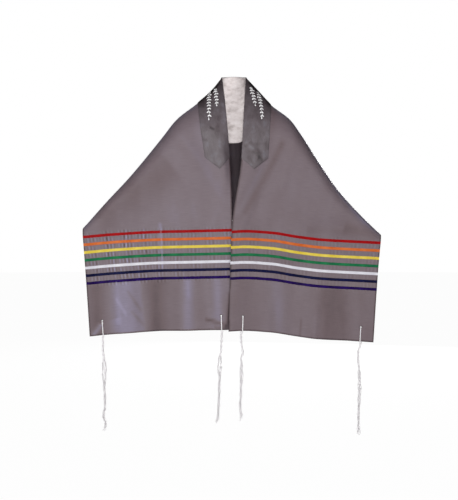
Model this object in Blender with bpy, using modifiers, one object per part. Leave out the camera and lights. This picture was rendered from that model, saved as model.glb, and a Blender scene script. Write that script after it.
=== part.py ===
"""Prayer shawl (tallit) with a neckband, rainbow ribbons and four corner tassels, as worn.

One rectangle of cloth hangs over the shoulders and the held-out arms of a general figure.
Its middle rests at the back of the neck, it folds over each arm, and its two short ends
hang in front. The origin is the middle of the neck edge, at the back of the neck.
+Z is up, the fronts face -Y, and lengths are in metres.
"""

import math

import bmesh
import bpy
import numpy as np
from mathutils import Vector

# The cut: a rectangle, 22 by 81 inches
LENGTH = 2.06
WIDTH = 0.55
HALF = LENGTH / 2
WALL = 0.0016
GAP = 0.0003
TRIM_WALL = 0.0010

# Neckband, lining and ribbons, sewn to that rectangle
BAND_WIDTH = 0.10
BAND_CORNER = 0.405
BAND_TIP = 0.448
LINING_HALF = 0.125
LINING_DEPTH = 0.254
RIBBON_WIDTH = 0.010
RIBBON_PITCH = 0.028
TOP_RIBBON = 0.359

# Eyelets and tassels
EYELET_INSET = 0.052
EYELET_DIAMETER = 0.008
EYELET_SIDES = 12
CUTTER_DEPTH = 0.02
LOOP_RADIUS = 0.0015
LOOP_SIDES = 6
LOOP_CLEARANCE = 0.0005
LOOP_TAIL = 0.009
LOOP_TAILS_APART = 0.0006
LOOP_PAST_HEM = 0.002
LOOP_LEAVES_FACE = 0.0028
LOOP_ENTERS = 0.0005
LOOP_ENTERS_AT = 0.8
SHAFT_RADIUS = 0.0024
SHAFT_SIDES = 8
SHAFT_START = 0.0042
SHAFT_LENGTH = 0.088
KNOT_RADIUS = 0.0036
KNOT_COUNT = 5
KNOT_HALF = 0.0018
KNOT_REACH = 0.0036
STRAND_RADIUS = 0.0008
STRAND_SIDES = 4
STRAND_COLUMNS = 4
STRAND_ROWS = 2
STRAND_SPACING = 0.0021
STRAND_SEGMENTS = 8
STRAND_ROOT = 0.002
STRAND_STEP = 0.006
STRAND_LENGTHS = 4
WAVE_HEIGHT = 0.0016
WAVE_HALF_TURNS = 4.5
WAVE_FADE_IN = 1 / 3
SWAY_POWER = 1.4
WELD = 0.000002

# How finely the cloth is divided
BACK_ROWS = 13
CHEVRON_ROWS = 2
ARM_ROWS = 7
HEM_ROWS = 6
BAND_COLUMNS = 4
BODY_COLUMNS = 14
PATH_STEPS = 240
ROUNDING = 1e-9

# The fold over each shoulder and arm, from the side of the neck to the arm's end.
# across: distance from the neck edge on the flat cloth; x, y, z: where the fold lies.
FOLD_COLUMNS = ("across", "x", "y", "z")
FOLD = {
    "left": [
        (0.000, -0.0425, -0.045, -0.0094),
        (0.045, -0.0812, -0.053, -0.0594),
        (0.100, -0.1340, -0.060, -0.1085),
        (0.183, -0.2121, -0.068, -0.1734),
        (0.235, -0.2600, -0.074, -0.2348),
        (0.365, -0.3812, -0.092, -0.3862),
        (0.455, -0.4666, -0.105, -0.4804),
        (0.550, -0.5495, -0.120, -0.5770),
    ],
    "right": [
        (0.000, 0.0466, -0.045, -0.0094),
        (0.045, 0.0912, -0.053, -0.0594),
        (0.100, 0.1400, -0.060, -0.1148),
        (0.175, 0.2111, -0.068, -0.1734),
        (0.213, 0.2480, -0.073, -0.2250),
        (0.297, 0.3241, -0.083, -0.3464),
        (0.372, 0.3853, -0.093, -0.4358),
        (0.460, 0.4634, -0.106, -0.5247),
        (0.550, 0.5389, -0.120, -0.6010),
    ],
}

# How the cloth turns over that fold. slope: its angle below level where it leaves the
# fold; bend: the length of cloth that curves before it hangs; in front, then behind.
TURN_COLUMNS = ("across", "slope", "bend", "back_slope", "back_bend")
TURN = [
    (0.000, 45, 0.295, 30, 0.19),
    (0.045, 33, 0.225, 20, 0.18),
    (0.100, 20, 0.165, 12, 0.17),
    (0.180, 5, 0.130, 3, 0.16),
    (0.300, 3, 0.100, 3, 0.14),
    (0.450, 3, 0.070, 3, 0.10),
    (0.550, 3, 0.052, 3, 0.06),
]

# At the back of the neck the cloth starts steeper than beside it
NAPE_SLOPE = 60
NAPE_BEND = 0.20

# The front edges, from the neck down; along: distance from the cloth's middle
EDGE_COLUMNS = ("along", "x")
EDGE = {
    "left": [
        (0.070, -0.0425),
        (0.190, -0.0310),
        (0.330, -0.0199),
        (0.490, -0.0091),
        (0.650, -0.0040),
        (1.030, 0.0097),
    ],
    "right": [
        (0.063, 0.0466),
        (0.185, 0.0405),
        (0.350, 0.0316),
        (0.410, 0.0280),
        (0.650, -0.0055),
        (1.030, -0.0181),
    ],
}

# The front hems, from the front edge outwards
HEM_COLUMNS = ("across", "x", "z")
HEM = {
    "left": [
        (0.000, 0.0097, -0.9440),
        (0.150, -0.1400, -0.9475),
        (0.270, -0.2550, -0.9500),
        (0.430, -0.4080, -0.9590),
        (0.550, -0.5194, -0.9690),
    ],
    "right": [
        (0.000, -0.0181, -0.9505),
        (0.050, 0.0300, -0.9480),
        (0.150, 0.1270, -0.9535),
        (0.250, 0.2240, -0.9690),
        (0.340, 0.3100, -0.9790),
        (0.550, 0.5052, -0.9900),
    ],
}

# Below the arm the panel draws in to its hem's width, faster at first
DRAW_IN = 0.7

# How far in front of its own sheet each panel lies where the right one laps over the left
LAP = {"left": 0.004, "right": -0.006}
LAP_WIDTH = 0.12
LAP_FADE_IN = 0.5

# Large soft folds. Each runs along a straight line on the cloth from one point to
# another; depth is how far it stands out (or in, below zero) from the sheet. On the
# back, along is below zero on the left side.
CREASE_COLUMNS = ("along_a", "across_a", "along_b", "across_b", "half_width", "depth")
CREASE_FADE_IN = 0.4
FRONT_CREASES = {
    "left": [
        (0.70, 0.075, 1.06, 0.045, 0.035, 0.007),
        (0.72, 0.190, 1.06, 0.180, 0.040, 0.008),
        (0.66, 0.300, 1.06, 0.275, 0.032, -0.008),
        (0.66, 0.410, 1.06, 0.395, 0.045, 0.010),
        (0.70, 0.515, 1.06, 0.500, 0.030, -0.006),
        (0.30, 0.130, 0.50, 0.050, 0.032, -0.006),
        (0.58, 0.470, 0.62, 0.300, 0.040, -0.007),
    ],
    "right": [
        (0.68, 0.120, 1.06, 0.120, 0.045, 0.008),
        (0.70, 0.230, 1.06, 0.235, 0.035, -0.007),
        (0.68, 0.330, 1.06, 0.335, 0.045, 0.009),
        (0.70, 0.450, 1.06, 0.445, 0.038, -0.008),
        (0.28, 0.160, 0.60, 0.040, 0.034, -0.007),
        (0.60, 0.500, 0.64, 0.320, 0.040, -0.007),
    ],
}
BACK_CREASES = [
    (-0.43, 0.44, -0.43, 0.60, 0.030, 0.008),
    (-0.33, 0.34, -0.33, 0.60, 0.032, -0.010),
    (-0.23, 0.26, -0.24, 0.60, 0.036, 0.012),
    (-0.13, 0.24, -0.14, 0.60, 0.036, -0.011),
    (-0.04, 0.28, -0.04, 0.60, 0.036, 0.010),
    (0.05, 0.26, 0.06, 0.60, 0.036, -0.010),
    (0.15, 0.25, 0.16, 0.60, 0.036, 0.012),
    (0.26, 0.31, 0.26, 0.60, 0.035, -0.011),
    (0.38, 0.40, 0.38, 0.60, 0.032, 0.009),
]

# The left front edge turns inwards beside the neckband's end
ROLL_MIDDLE = 0.42
ROLL_REACH = 0.17
ROLL_WIDTH = 0.05
ROLL_BACK = 0.024
ROLL_SIDE = 0.0125
ROLL_FADE = 0.34

# How far the back hem spreads sideways for each metre of cloth
BACK_SPREAD = 0.89

# Each tassel hangs from its eyelet; sway: sideways drift of its end, drop: hem to end
TASSEL_COLUMNS = ("name", "side", "across", "sway", "drop")
TASSELS = [
    ("tzitzit_left_outer", "left", WIDTH - EYELET_INSET, 0.007, 0.358),
    ("tzitzit_left_inner", "left", EYELET_INSET, -0.022, 0.350),
    ("tzitzit_right_inner", "right", EYELET_INSET, -0.010, 0.334),
    ("tzitzit_right_outer", "right", WIDTH - EYELET_INSET, -0.006, 0.348),
]

RIBBON_NAMES = ("red", "orange", "yellow", "green", "white", "navy", "purple")
COLOURS = {
    "taffeta": ("7a6b74", 0.45),
    "satin": ("5f575b", 0.35),
    "lining": ("d4cac9", 0.60),
    "red": ("a81a1e", 0.40),
    "orange": ("c96a38", 0.40),
    "yellow": ("d8c252", 0.40),
    "green": ("2a6b43", 0.40),
    "white": ("d4d1da", 0.40),
    "navy": ("1e1a38", 0.40),
    "purple": ("2b1450", 0.40),
    "wool": ("ecebe6", 0.80),
}

SIGN = {"left": -1.0, "right": 1.0}


def table(rows, columns):
    """Turn rows into one array for each named column."""
    values = np.array(rows, dtype=float)
    return {name: values[:, place] for place, name in enumerate(columns)}


def smooth(value):
    """Rise gently from 0 to 1 as value goes from 0 to 1."""
    clipped = np.clip(value, 0.0, 1.0)
    return clipped * clipped * (3 - 2 * clipped)


def curve_through(where, xs, ys):
    """A monotone cubic through the points (xs, ys): no overshoot between two rows."""
    steps = np.diff(xs)
    rises = np.diff(ys) / steps
    slopes = np.empty_like(ys)
    slopes[0], slopes[-1] = rises[0], rises[-1]
    same_way = rises[:-1] * rises[1:] > 0
    total = np.where(same_way, rises[:-1] + rises[1:], 1.0)
    slopes[1:-1] = np.where(same_way, 2 * rises[:-1] * rises[1:] / total, 0.0)
    place = np.clip(np.searchsorted(xs, where) - 1, 0, len(steps) - 1)
    u = (np.clip(where, xs[0], xs[-1]) - xs[place]) / steps[place]
    lower = ys[place] * (1 + 2 * u) * (1 - u) ** 2 + ys[place + 1] * u * u * (3 - 2 * u)
    bent = slopes[place] * u * (1 - u) ** 2 - slopes[place + 1] * u * u * (1 - u)
    return lower + bent * steps[place]


def hanging_path(length, slope, bend):
    """Depth and drop of cloth that leaves a fold at slope degrees and turns to hang."""
    travelled = np.linspace(0.0, length, PATH_STEPS)
    start = math.radians(slope)
    angle = start + (math.pi / 2 - start) * np.clip(travelled / bend, 0, 1)
    step = travelled[1] - travelled[0]
    out = np.concatenate(([0.0], np.cumsum((np.cos(angle[1:]) + np.cos(angle[:-1])) / 2) * step))
    down = np.concatenate(([0.0], np.cumsum((np.sin(angle[1:]) + np.sin(angle[:-1])) / 2) * step))
    return travelled, out, down


def crease_depth(along, across, rows):
    """Sum of the soft folds at points of the cloth: a bell across each fold's line."""
    total = np.zeros_like(along)
    for row in rows:
        crease = dict(zip(CREASE_COLUMNS, row))
        run_along = crease["along_b"] - crease["along_a"]
        run_across = crease["across_b"] - crease["across_a"]
        from_along = along - crease["along_a"]
        from_across = across - crease["across_a"]
        part = (from_along * run_along + from_across * run_across) / (run_along ** 2 + run_across ** 2)
        nearest = np.clip(part, 0, 1)
        away = np.hypot(from_along - nearest * run_along, from_across - nearest * run_across)
        bell = np.exp(-((away / crease["half_width"]) ** 2))
        total += crease["depth"] * bell * smooth(part / CREASE_FADE_IN)
    return total


class Panel:
    """One half of the shawl: its fold, its front and its share of the back."""

    def __init__(self, side):
        self.side = side
        self.sign = SIGN[side]
        self.fold = table(FOLD[side], FOLD_COLUMNS)
        self.turn = table(TURN, TURN_COLUMNS)
        self.edge = table(EDGE[side], EDGE_COLUMNS)
        self.hem = table(HEM[side], HEM_COLUMNS)
        fine = np.linspace(0.0, WIDTH, PATH_STEPS)
        hang = []
        for across in fine:
            bend = self.turn_at(across, "bend")
            slope = self.turn_at(across, "slope")
            drop = self.fold_at(across, "z") - self.hem_at(across, "z")
            _, _, down = hanging_path(bend, slope, bend)
            hang.append(drop + bend - down[-1])
        self.fine_across = fine
        self.fine_along = HALF - np.array(hang)
        self.neck = self.fine_along[0]

    def fold_at(self, across, column):
        return curve_through(np.asarray(across), self.fold["across"], self.fold[column])

    def turn_at(self, across, column):
        return float(curve_through(across, self.turn["across"], self.turn[column]))

    def hem_at(self, across, column):
        return curve_through(np.asarray(across), self.hem["across"], self.hem[column])

    def edge_at(self, along):
        return curve_through(np.asarray(along), self.edge["along"], self.edge["x"])

    def fold_along(self, across):
        """How far along the cloth its fold lies, for a distance from the neck edge."""
        return np.interp(across, self.fine_across, self.fine_along)

    def fold_across(self, along):
        """How far across the cloth its fold lies, for a distance from the middle."""
        return np.interp(along, self.fine_along, self.fine_across)

    def front(self, along, across):
        """Points of the front, all at one distance across, hanging below the fold."""
        top = float(self.fold_along(across))
        slope = self.turn_at(across, "slope")
        bend = self.turn_at(across, "bend")
        below = np.asarray(along) - top
        travelled, out, down = hanging_path(HALF - top, slope, bend)
        y = self.fold_at(across, "y") - np.interp(below, travelled, out)
        z = self.fold_at(across, "z") - np.interp(below, travelled, down)
        part = below / (HALF - top)
        at_fold = self.fold_at(across, "x") - self.edge_at(top)
        at_hem = self.hem_at(across, "x") - self.edge_at(HALF)
        eased = part ** DRAW_IN
        x = self.edge_at(along) + at_fold * (1 - eased) + at_hem * eased
        level = np.full_like(x, across)
        settled = smooth(below / bend)
        y = y - settled * crease_depth(np.asarray(along), level, FRONT_CREASES[self.side])
        y = y + LAP[self.side] * smooth(1 - across / LAP_WIDTH) * smooth(part / LAP_FADE_IN)
        if self.side == "left":
            near = smooth(1 - np.abs(along - ROLL_MIDDLE) / ROLL_REACH)
            inner = np.clip(1 - across / ROLL_WIDTH, 0, 1)
            fading = smooth(across / ROLL_WIDTH) * smooth(1 - across / ROLL_FADE)
            y = y + ROLL_BACK * near * inner ** 2
            x = x + ROLL_SIDE * near * fading
        return np.stack([x, y, z], axis=-1)

    def back(self, along, across):
        """Points of the back, all at one distance along, hanging behind the fold."""
        if along < self.neck:
            turn = math.pi / 2 * along / self.neck
            side_x, side_y, side_z = (self.fold_at(0.0, axis) for axis in "xyz")
            start = np.array([side_x * math.sin(turn), side_y * (1 - math.cos(turn)),
                              side_z * math.sin(turn) ** 2])
            first = 0.0
        else:
            first = float(self.fold_across(along))
            start = np.array([self.fold_at(first, axis) for axis in "xyz"])
        beside = smooth(along / self.neck)
        slope = NAPE_SLOPE + (self.turn_at(first, "back_slope") - NAPE_SLOPE) * beside
        bend = NAPE_BEND + (self.turn_at(first, "back_bend") - NAPE_BEND) * beside
        below = np.asarray(across) - first
        travelled, out, down = hanging_path(WIDTH, slope, bend)
        y = start[1] + np.interp(below, travelled, out)
        z = start[2] - np.interp(below, travelled, down)
        part = below / (WIDTH - min(first, WIDTH - bend))
        x = start[0] + (self.sign * BACK_SPREAD * along - start[0]) * smooth(part)
        level = np.full_like(x, self.sign * along)
        settled = smooth(below / bend)
        y = y + settled * crease_depth(level, np.asarray(across), BACK_CREASES)
        return np.stack([x, y, z], axis=-1)


def stations_along():
    """Distances from the middle of the cloth to one end where a row of points lies."""
    ribbon_top = HALF - TOP_RIBBON - RIBBON_WIDTH / 2
    rows = list(np.linspace(0, BAND_CORNER, BACK_ROWS + 1))
    rows += list(np.linspace(BAND_CORNER, BAND_TIP, CHEVRON_ROWS + 1))[1:]
    rows += list(np.linspace(BAND_TIP, ribbon_top, ARM_ROWS + 1))[1:]
    for ribbon in range(len(RIBBON_NAMES)):
        upper = ribbon_top + ribbon * RIBBON_PITCH
        rows += [upper, upper + RIBBON_WIDTH] if ribbon else [upper + RIBBON_WIDTH]
    rows += list(np.linspace(rows[-1], HALF, HEM_ROWS + 1))[1:]
    return np.array(rows)


def stations_across():
    """Distances from the neck edge to the far edge where a line of points lies."""
    band = np.linspace(0, BAND_WIDTH, BAND_COLUMNS + 1)
    body = np.linspace(BAND_WIDTH, WIDTH, BODY_COLUMNS + 1)[1:]
    return np.concatenate([band, body])


class Sheet:
    """The cloth's middle surface: points on a grid, triangles, and the way each faces."""

    def __init__(self, panels):
        half = stations_along()
        self.across = stations_across()
        self.along = np.concatenate([-half[::-1], half[1:]])
        grid = np.empty((len(self.along), len(self.across), 3))
        for row, along in enumerate(self.along):
            panel = panels["left" if along < 0 else "right"]
            for column, across in enumerate(self.across):
                grid[row, column] = place(panel, abs(along), across)
        self.points = grid.reshape(-1, 3)
        self.triangles, self.centres = self.split_cells()
        self.normals = self.point_normals()

    def split_cells(self):
        """Two triangles a cell, cut along the fold, and along the neckband's point."""
        wide = len(self.across)
        triangles, centres = [], []
        for row in range(len(self.along) - 1):
            middle = (self.along[row] + self.along[row + 1]) / 2
            pointed = BAND_CORNER < abs(middle) < BAND_TIP
            for column in range(wide - 1):
                a, b = row * wide + column, (row + 1) * wide + column
                rising = middle > 0
                if pointed and BAND_COLUMNS / 2 <= column < BAND_COLUMNS:
                    rising = not rising
                c, d = b + 1, a + 1
                halves = [(a, b, c), (a, c, d)] if rising else [(a, b, d), (b, c, d)]
                for corners in halves:
                    triangles.append(corners)
                    centres.append([np.mean([self.along[i // wide] for i in corners]),
                                    np.mean([self.across[i % wide] for i in corners])])
        return np.array(triangles), np.array(centres)

    def point_normals(self):
        """Unit vectors that point out of the garment, averaged over each point's faces."""
        a, b, c = (self.points[self.triangles[:, corner]] for corner in range(3))
        face = np.cross(b - a, c - a)
        total = np.zeros_like(self.points)
        for corner in range(3):
            np.add.at(total, self.triangles[:, corner], face)
        return total / np.linalg.norm(total, axis=1, keepdims=True)

    def point_at(self, along, across):
        """The point of the divided cloth at one place on the flat rectangle."""
        wide = len(self.across)
        row = min(np.searchsorted(self.along, along, side="right") - 1, len(self.along) - 2)
        column = min(np.searchsorted(self.across, across, side="right") - 1, wide - 2)
        for corners in self.triangles[(row * (wide - 1) + column) * 2:][:2]:
            flat = [(self.along[i // wide], self.across[i % wide], 1.0) for i in corners]
            shares = np.linalg.solve(np.array(flat).T, (along, across, 1.0))
            if shares.min() > -ROUNDING:
                break
        return shares @ self.points[corners]

    def patch(self, name, chosen, offset, thickness, material):
        """A wall of its own thickness on the chosen triangles, moved off the cloth."""
        used, renumbered = np.unique(self.triangles[chosen], return_inverse=True)
        points = self.points[used] + self.normals[used] * offset
        mesh = bpy.data.meshes.new(name)
        mesh.from_pydata(points.tolist(), [], renumbered.reshape(-1, 3).tolist())
        mesh.materials.append(material)
        thing = bpy.data.objects.new(name, mesh)
        wall = thing.modifiers.new("wall", "SOLIDIFY")
        wall.thickness = thickness
        wall.offset = 0.0
        return thing


def place(panel, along, across):
    """Where one point of the flat cloth lies on the worn shawl."""
    if along >= panel.fold_along(across):
        return panel.front(np.array([along]), across)[0]
    return panel.back(along, np.array([across]))[0]


def fabric(name):
    """A plain material in the fabric's own colour."""
    code, roughness = COLOURS[name]
    material = bpy.data.materials.new(name)
    material.use_nodes = True
    shader = material.node_tree.nodes["Principled BSDF"]
    shown = [int(code[place:place + 2], 16) / 255 for place in (0, 2, 4)]
    linear = [value / 12.92 if value <= 0.04045 else ((value + 0.055) / 1.055) ** 2.4
              for value in shown]
    shader.inputs["Base Color"].default_value = (*linear, 1)
    shader.inputs["Roughness"].default_value = roughness
    shader.inputs["Metallic"].default_value = 0.0
    return material


def tube(path, radii, sides):
    """A closed tube round a path, with one radius for each point of the path."""
    curve = bpy.data.curves.new("tube", "CURVE")
    curve.dimensions = "3D"
    curve.bevel_depth = 1.0
    curve.bevel_resolution = (sides - 4) // 2
    curve.use_fill_caps = True
    spline = curve.splines.new("POLY")
    spline.points.add(len(path) - 1)
    for point, where, radius in zip(spline.points, path, radii):
        point.co = (*where, 1.0)
        point.radius = radius
    thing = bpy.data.objects.new("tube", curve)
    bpy.context.scene.collection.objects.link(thing)
    bpy.context.view_layer.update()
    evaluated = thing.evaluated_get(bpy.context.evaluated_depsgraph_get())
    mesh = bpy.data.meshes.new_from_object(evaluated)
    bpy.data.objects.remove(thing)
    bpy.data.curves.remove(curve)
    return mesh


def joined(name, meshes):
    """One object that holds several meshes, with the tubes' loose caps welded."""
    form = bmesh.new()
    for mesh in meshes:
        form.from_mesh(mesh)
        bpy.data.meshes.remove(mesh)
    bmesh.ops.remove_doubles(form, verts=form.verts, dist=WELD)
    bmesh.ops.recalc_face_normals(form, faces=form.faces)
    whole = bpy.data.meshes.new(name)
    form.to_mesh(whole)
    form.free()
    return bpy.data.objects.new(name, whole)


def boolean(thing, name, operation, other):
    """Cut or join another object, which then stays hidden."""
    step = thing.modifiers.new(name, "BOOLEAN")
    step.operation = operation
    step.solver = "EXACT"
    step.object = other
    other.hide_render = True
    other.display_type = "WIRE"


def eyelet_frame(sheet, side, across):
    """An eyelet's middle, and the ways down, out of the cloth and sideways there."""
    along = SIGN[side] * (HALF - EYELET_INSET)
    middle = sheet.point_at(along, across)
    hem = sheet.point_at(SIGN[side] * HALF, across)
    down = (hem - middle) / np.linalg.norm(hem - middle)
    beside = sheet.point_at(along, across + EYELET_INSET / 2) - middle
    out = np.cross(beside, down) * SIGN[side]
    out /= np.linalg.norm(out)
    return middle, hem, down, out


def eyelet_cutter(name, middle, out):
    """A short rod through the cloth, as wide as the eyelet."""
    bpy.ops.mesh.primitive_cylinder_add(vertices=EYELET_SIDES, radius=EYELET_DIAMETER / 2,
                                        depth=CUTTER_DEPTH)
    cutter = bpy.context.object
    cutter.name = name
    cutter.location = middle
    cutter.rotation_mode = "QUATERNION"
    cutter.rotation_quaternion = Vector(out).to_track_quat("Z", "Y")
    return cutter


def tassel_line(hem, sway, drop, part):
    """The hanging tassel's middle line: straight down, with a drift and a slow wave."""
    wave = WAVE_HEIGHT * math.sin(WAVE_HALF_TURNS * math.pi * part) * min(1.0, part / WAVE_FADE_IN)
    return hem + np.array([sway * part ** SWAY_POWER + wave, 0.0, -drop * part])


def tassel(name, sheet, side, across, sway, drop, material):
    """Strands doubled through the eyelet, wound and knotted below the hem, then loose."""
    middle, hem, down, out = eyelet_frame(sheet, side, across)
    inset = np.linalg.norm(hem - middle)
    clear = WALL / 2 + LOOP_CLEARANCE + LOOP_RADIUS
    rest = EYELET_DIAMETER / 2 - LOOP_RADIUS - GAP
    front = [(inset + LOOP_TAIL, LOOP_TAILS_APART), (inset + LOOP_PAST_HEM, clear),
             (inset / 2, clear), (rest + LOOP_LEAVES_FACE, clear),
             (rest + LOOP_ENTERS, clear * LOOP_ENTERS_AT), (rest, 0.0)]
    run = front + [(below, -away) for below, away in reversed(front[:-1])]
    loop_path = [middle + down * below + out * away for below, away in run]
    loop = tube(loop_path, [LOOP_RADIUS] * len(loop_path), LOOP_SIDES)

    shaft_path, shaft_radii = [], []
    for knot in range(KNOT_COUNT + 1):
        here = SHAFT_START + (SHAFT_LENGTH - SHAFT_START) * knot / KNOT_COUNT
        for shift, radius in ((0.0, SHAFT_RADIUS), (KNOT_REACH - KNOT_HALF, KNOT_RADIUS),
                              (KNOT_REACH + KNOT_HALF, KNOT_RADIUS), (2 * KNOT_REACH, SHAFT_RADIUS)):
            shaft_path.append(tassel_line(hem, sway, drop, (here + shift) / drop))
            shaft_radii.append(radius)
    shaft_path, shaft_radii = shaft_path[:-1], shaft_radii[:-1]
    shaft = joined(name, [tube(shaft_path, shaft_radii, SHAFT_SIDES)])

    strands = []
    root = (SHAFT_LENGTH + STRAND_ROOT) / drop
    for column in range(STRAND_COLUMNS):
        for row in range(STRAND_ROWS):
            side_step = (column - (STRAND_COLUMNS - 1) / 2) * STRAND_SPACING
            depth_step = (row - (STRAND_ROWS - 1) / 2) * STRAND_SPACING
            shorter = STRAND_STEP * ((column * 2 + row * 3) % STRAND_LENGTHS) / drop
            parts = np.linspace(root, 1.0 - shorter, STRAND_SEGMENTS + 1)
            path = [tassel_line(hem, sway, drop, part) + np.array([side_step, depth_step, 0])
                    for part in parts]
            strands.append(tube(path, [STRAND_RADIUS] * len(path), STRAND_SIDES))
    others = [joined(name + "_strands", strands), joined(name + "_loop", [loop])]
    for other in others:
        boolean(shaft, "join", "UNION", other)
    shaft.data.materials.append(material)
    return shaft, others


def between(value, low, high):
    """Where an array lies strictly between two limits."""
    return (value > low) & (value < high)


def build():
    """Make every piece and put the pieces and their cutters in two collections."""
    for thing in list(bpy.data.objects):
        bpy.data.objects.remove(thing, do_unlink=True)
    materials = {name: fabric(name) for name in COLOURS}
    sheet = Sheet({side: Panel(side) for side in SIGN})
    along, across = sheet.centres[:, 0], sheet.centres[:, 1]
    trim = WALL / 2 + GAP + TRIM_WALL / 2
    everything = np.ones(len(along), dtype=bool)

    cloth = sheet.patch("tallit_cloth", everything, 0.0, WALL, materials["taffeta"])
    point = BAND_TIP - np.abs(across - BAND_WIDTH / 2) * (BAND_TIP - BAND_CORNER) * 2 / BAND_WIDTH
    on_band = (across < BAND_WIDTH) & (np.abs(along) < point)
    pieces = [cloth, sheet.patch("atarah", on_band, trim, TRIM_WALL, materials["satin"])]
    on_lining = (np.abs(along) < LINING_HALF) & (across < LINING_DEPTH)
    pieces.append(sheet.patch("neck_lining", on_lining, -trim, TRIM_WALL, materials["lining"]))
    for side, sign in SIGN.items():
        for order, colour in enumerate(RIBBON_NAMES):
            upper = HALF - TOP_RIBBON - RIBBON_WIDTH / 2 + order * RIBBON_PITCH
            on_ribbon = between(along * sign, upper, upper + RIBBON_WIDTH)
            name = f"ribbon_{side}_{order + 1}_{colour}"
            pieces.append(sheet.patch(name, on_ribbon, trim, TRIM_WALL, materials[colour]))

    cutters = []
    for row in TASSELS:
        hung = dict(zip(TASSEL_COLUMNS, row))
        middle, _, _, out = eyelet_frame(sheet, hung["side"], hung["across"])
        cutter = eyelet_cutter(hung["name"] + "_eyelet", middle, out)
        boolean(cloth, "eyelet", "DIFFERENCE", cutter)
        piece, others = tassel(**hung, sheet=sheet, material=materials["wool"])
        pieces.append(piece)
        cutters += [cutter, *others]

    for title, things in (("tallit", pieces), ("cutters", cutters)):
        collection = bpy.data.collections.new(title)
        bpy.context.scene.collection.children.link(collection)
        for thing in things:
            for owner in list(thing.users_collection):
                owner.objects.unlink(thing)
            collection.objects.link(thing)


build()
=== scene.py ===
# %% [markdown]
# # A prayer shawl, as worn
# A tallit is one uncut rectangle of cloth. It rests on the back of the neck, falls over both
# shoulders and held-out arms, and its two short ends hang in front. This lesson dresses the
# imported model: every piece is a surface worked out with numpy from the flat cut, so the ribbons,
# the neckband and the stitches all follow the same folds as the cloth that carries them.

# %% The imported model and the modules
import math

import bpy
import numpy as np
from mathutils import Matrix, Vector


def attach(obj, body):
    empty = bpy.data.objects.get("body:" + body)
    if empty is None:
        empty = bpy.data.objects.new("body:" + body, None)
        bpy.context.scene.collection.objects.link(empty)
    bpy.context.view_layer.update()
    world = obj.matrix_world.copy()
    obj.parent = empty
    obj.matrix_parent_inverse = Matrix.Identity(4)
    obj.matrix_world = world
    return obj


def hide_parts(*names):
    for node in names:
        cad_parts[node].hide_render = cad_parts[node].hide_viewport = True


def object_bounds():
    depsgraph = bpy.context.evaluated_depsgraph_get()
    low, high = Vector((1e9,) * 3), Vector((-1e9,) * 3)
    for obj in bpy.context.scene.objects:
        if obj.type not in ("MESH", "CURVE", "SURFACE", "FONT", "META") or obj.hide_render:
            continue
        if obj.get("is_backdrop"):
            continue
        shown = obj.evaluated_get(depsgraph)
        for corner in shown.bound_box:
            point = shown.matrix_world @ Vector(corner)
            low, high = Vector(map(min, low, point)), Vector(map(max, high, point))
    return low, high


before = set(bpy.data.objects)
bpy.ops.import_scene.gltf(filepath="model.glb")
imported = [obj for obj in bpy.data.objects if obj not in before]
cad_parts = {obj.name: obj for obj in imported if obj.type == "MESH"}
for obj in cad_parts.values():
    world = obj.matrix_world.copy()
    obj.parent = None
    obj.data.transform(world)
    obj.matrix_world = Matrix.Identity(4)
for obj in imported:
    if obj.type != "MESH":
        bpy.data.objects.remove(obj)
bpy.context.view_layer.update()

# %% [markdown]
# ## The camera
# The picture is level and looks straight at the fronts from a little over three metres, so the
# verticals stay upright. The lens is worked out from the picture's scale: 828.73 pixels for one
# metre at one metre, on a frame 500 pixels high.

# %% The camera
PICTURE_LONG_SIDE = 500
PIXELS_PER_METRE = 828.73
CAMERA_PLACE = (-0.01629, -3.145, -0.65653)
SENSOR_WIDTH = 36

camera = bpy.data.objects.new("camera", bpy.data.cameras.new("camera"))
bpy.context.scene.collection.objects.link(camera)
camera.location = CAMERA_PLACE
camera.rotation_euler = (math.pi / 2, 0, 0)
camera.data.sensor_width = SENSOR_WIDTH
camera.data.lens = SENSOR_WIDTH * PIXELS_PER_METRE / PICTURE_LONG_SIDE
bpy.context.scene.camera = camera
print("lens", round(camera.data.lens, 2), "mm")

# %% [markdown]
# ## The cut, in real sizes
# These are the sizes a maker would cut and sew by. Distances along the cloth are counted from
# its middle, and distances across it from the edge that goes round the neck.

# %% Sizes of the cut
LENGTH = 2.06
WIDTH = 0.55
HALF = LENGTH / 2
BAND_WIDTH = 0.10
BAND_CORNER = 0.405
BAND_TIP = 0.448
LINING_HALF = 0.125
LINING_DEPTH = 0.254
RIBBON_WIDTH = 0.010
RIBBON_PITCH = 0.028
TOP_RIBBON = 0.359
RIBBONS = ("red", "orange", "yellow", "green", "white", "navy", "purple")
EYELET_INSET = 0.052
EYELET_RADIUS = 0.004
SIGN = {"left": -1.0, "right": 1.0}

# %% [markdown]
# ## How the cloth hangs
# The fold over each shoulder and arm is a line on the cloth. In front of it and behind it the
# cloth leaves at a small slope, turns on an arc and then hangs straight down. Short tables hold
# the line of that fold, the arc's size, the front edges and the hems.

# %% Tables of the drape
FOLD_COLUMNS = ("across", "x", "y", "z")
FOLD = {
    "left": [
        (0.000, -0.0425, -0.045, -0.0094), (0.045, -0.0812, -0.053, -0.0594),
        (0.100, -0.1340, -0.060, -0.1085), (0.183, -0.2121, -0.068, -0.1734),
        (0.235, -0.2600, -0.074, -0.2348), (0.365, -0.3812, -0.092, -0.3862),
        (0.455, -0.4666, -0.105, -0.4804), (0.550, -0.5495, -0.120, -0.5770),
    ],
    "right": [
        (0.000, 0.0466, -0.045, -0.0094), (0.045, 0.0912, -0.053, -0.0594),
        (0.100, 0.1400, -0.060, -0.1148), (0.175, 0.2111, -0.068, -0.1734),
        (0.213, 0.2480, -0.073, -0.2250), (0.297, 0.3241, -0.083, -0.3464),
        (0.372, 0.3853, -0.093, -0.4358), (0.460, 0.4634, -0.106, -0.5247),
        (0.550, 0.5389, -0.120, -0.6010),
    ],
}
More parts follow.
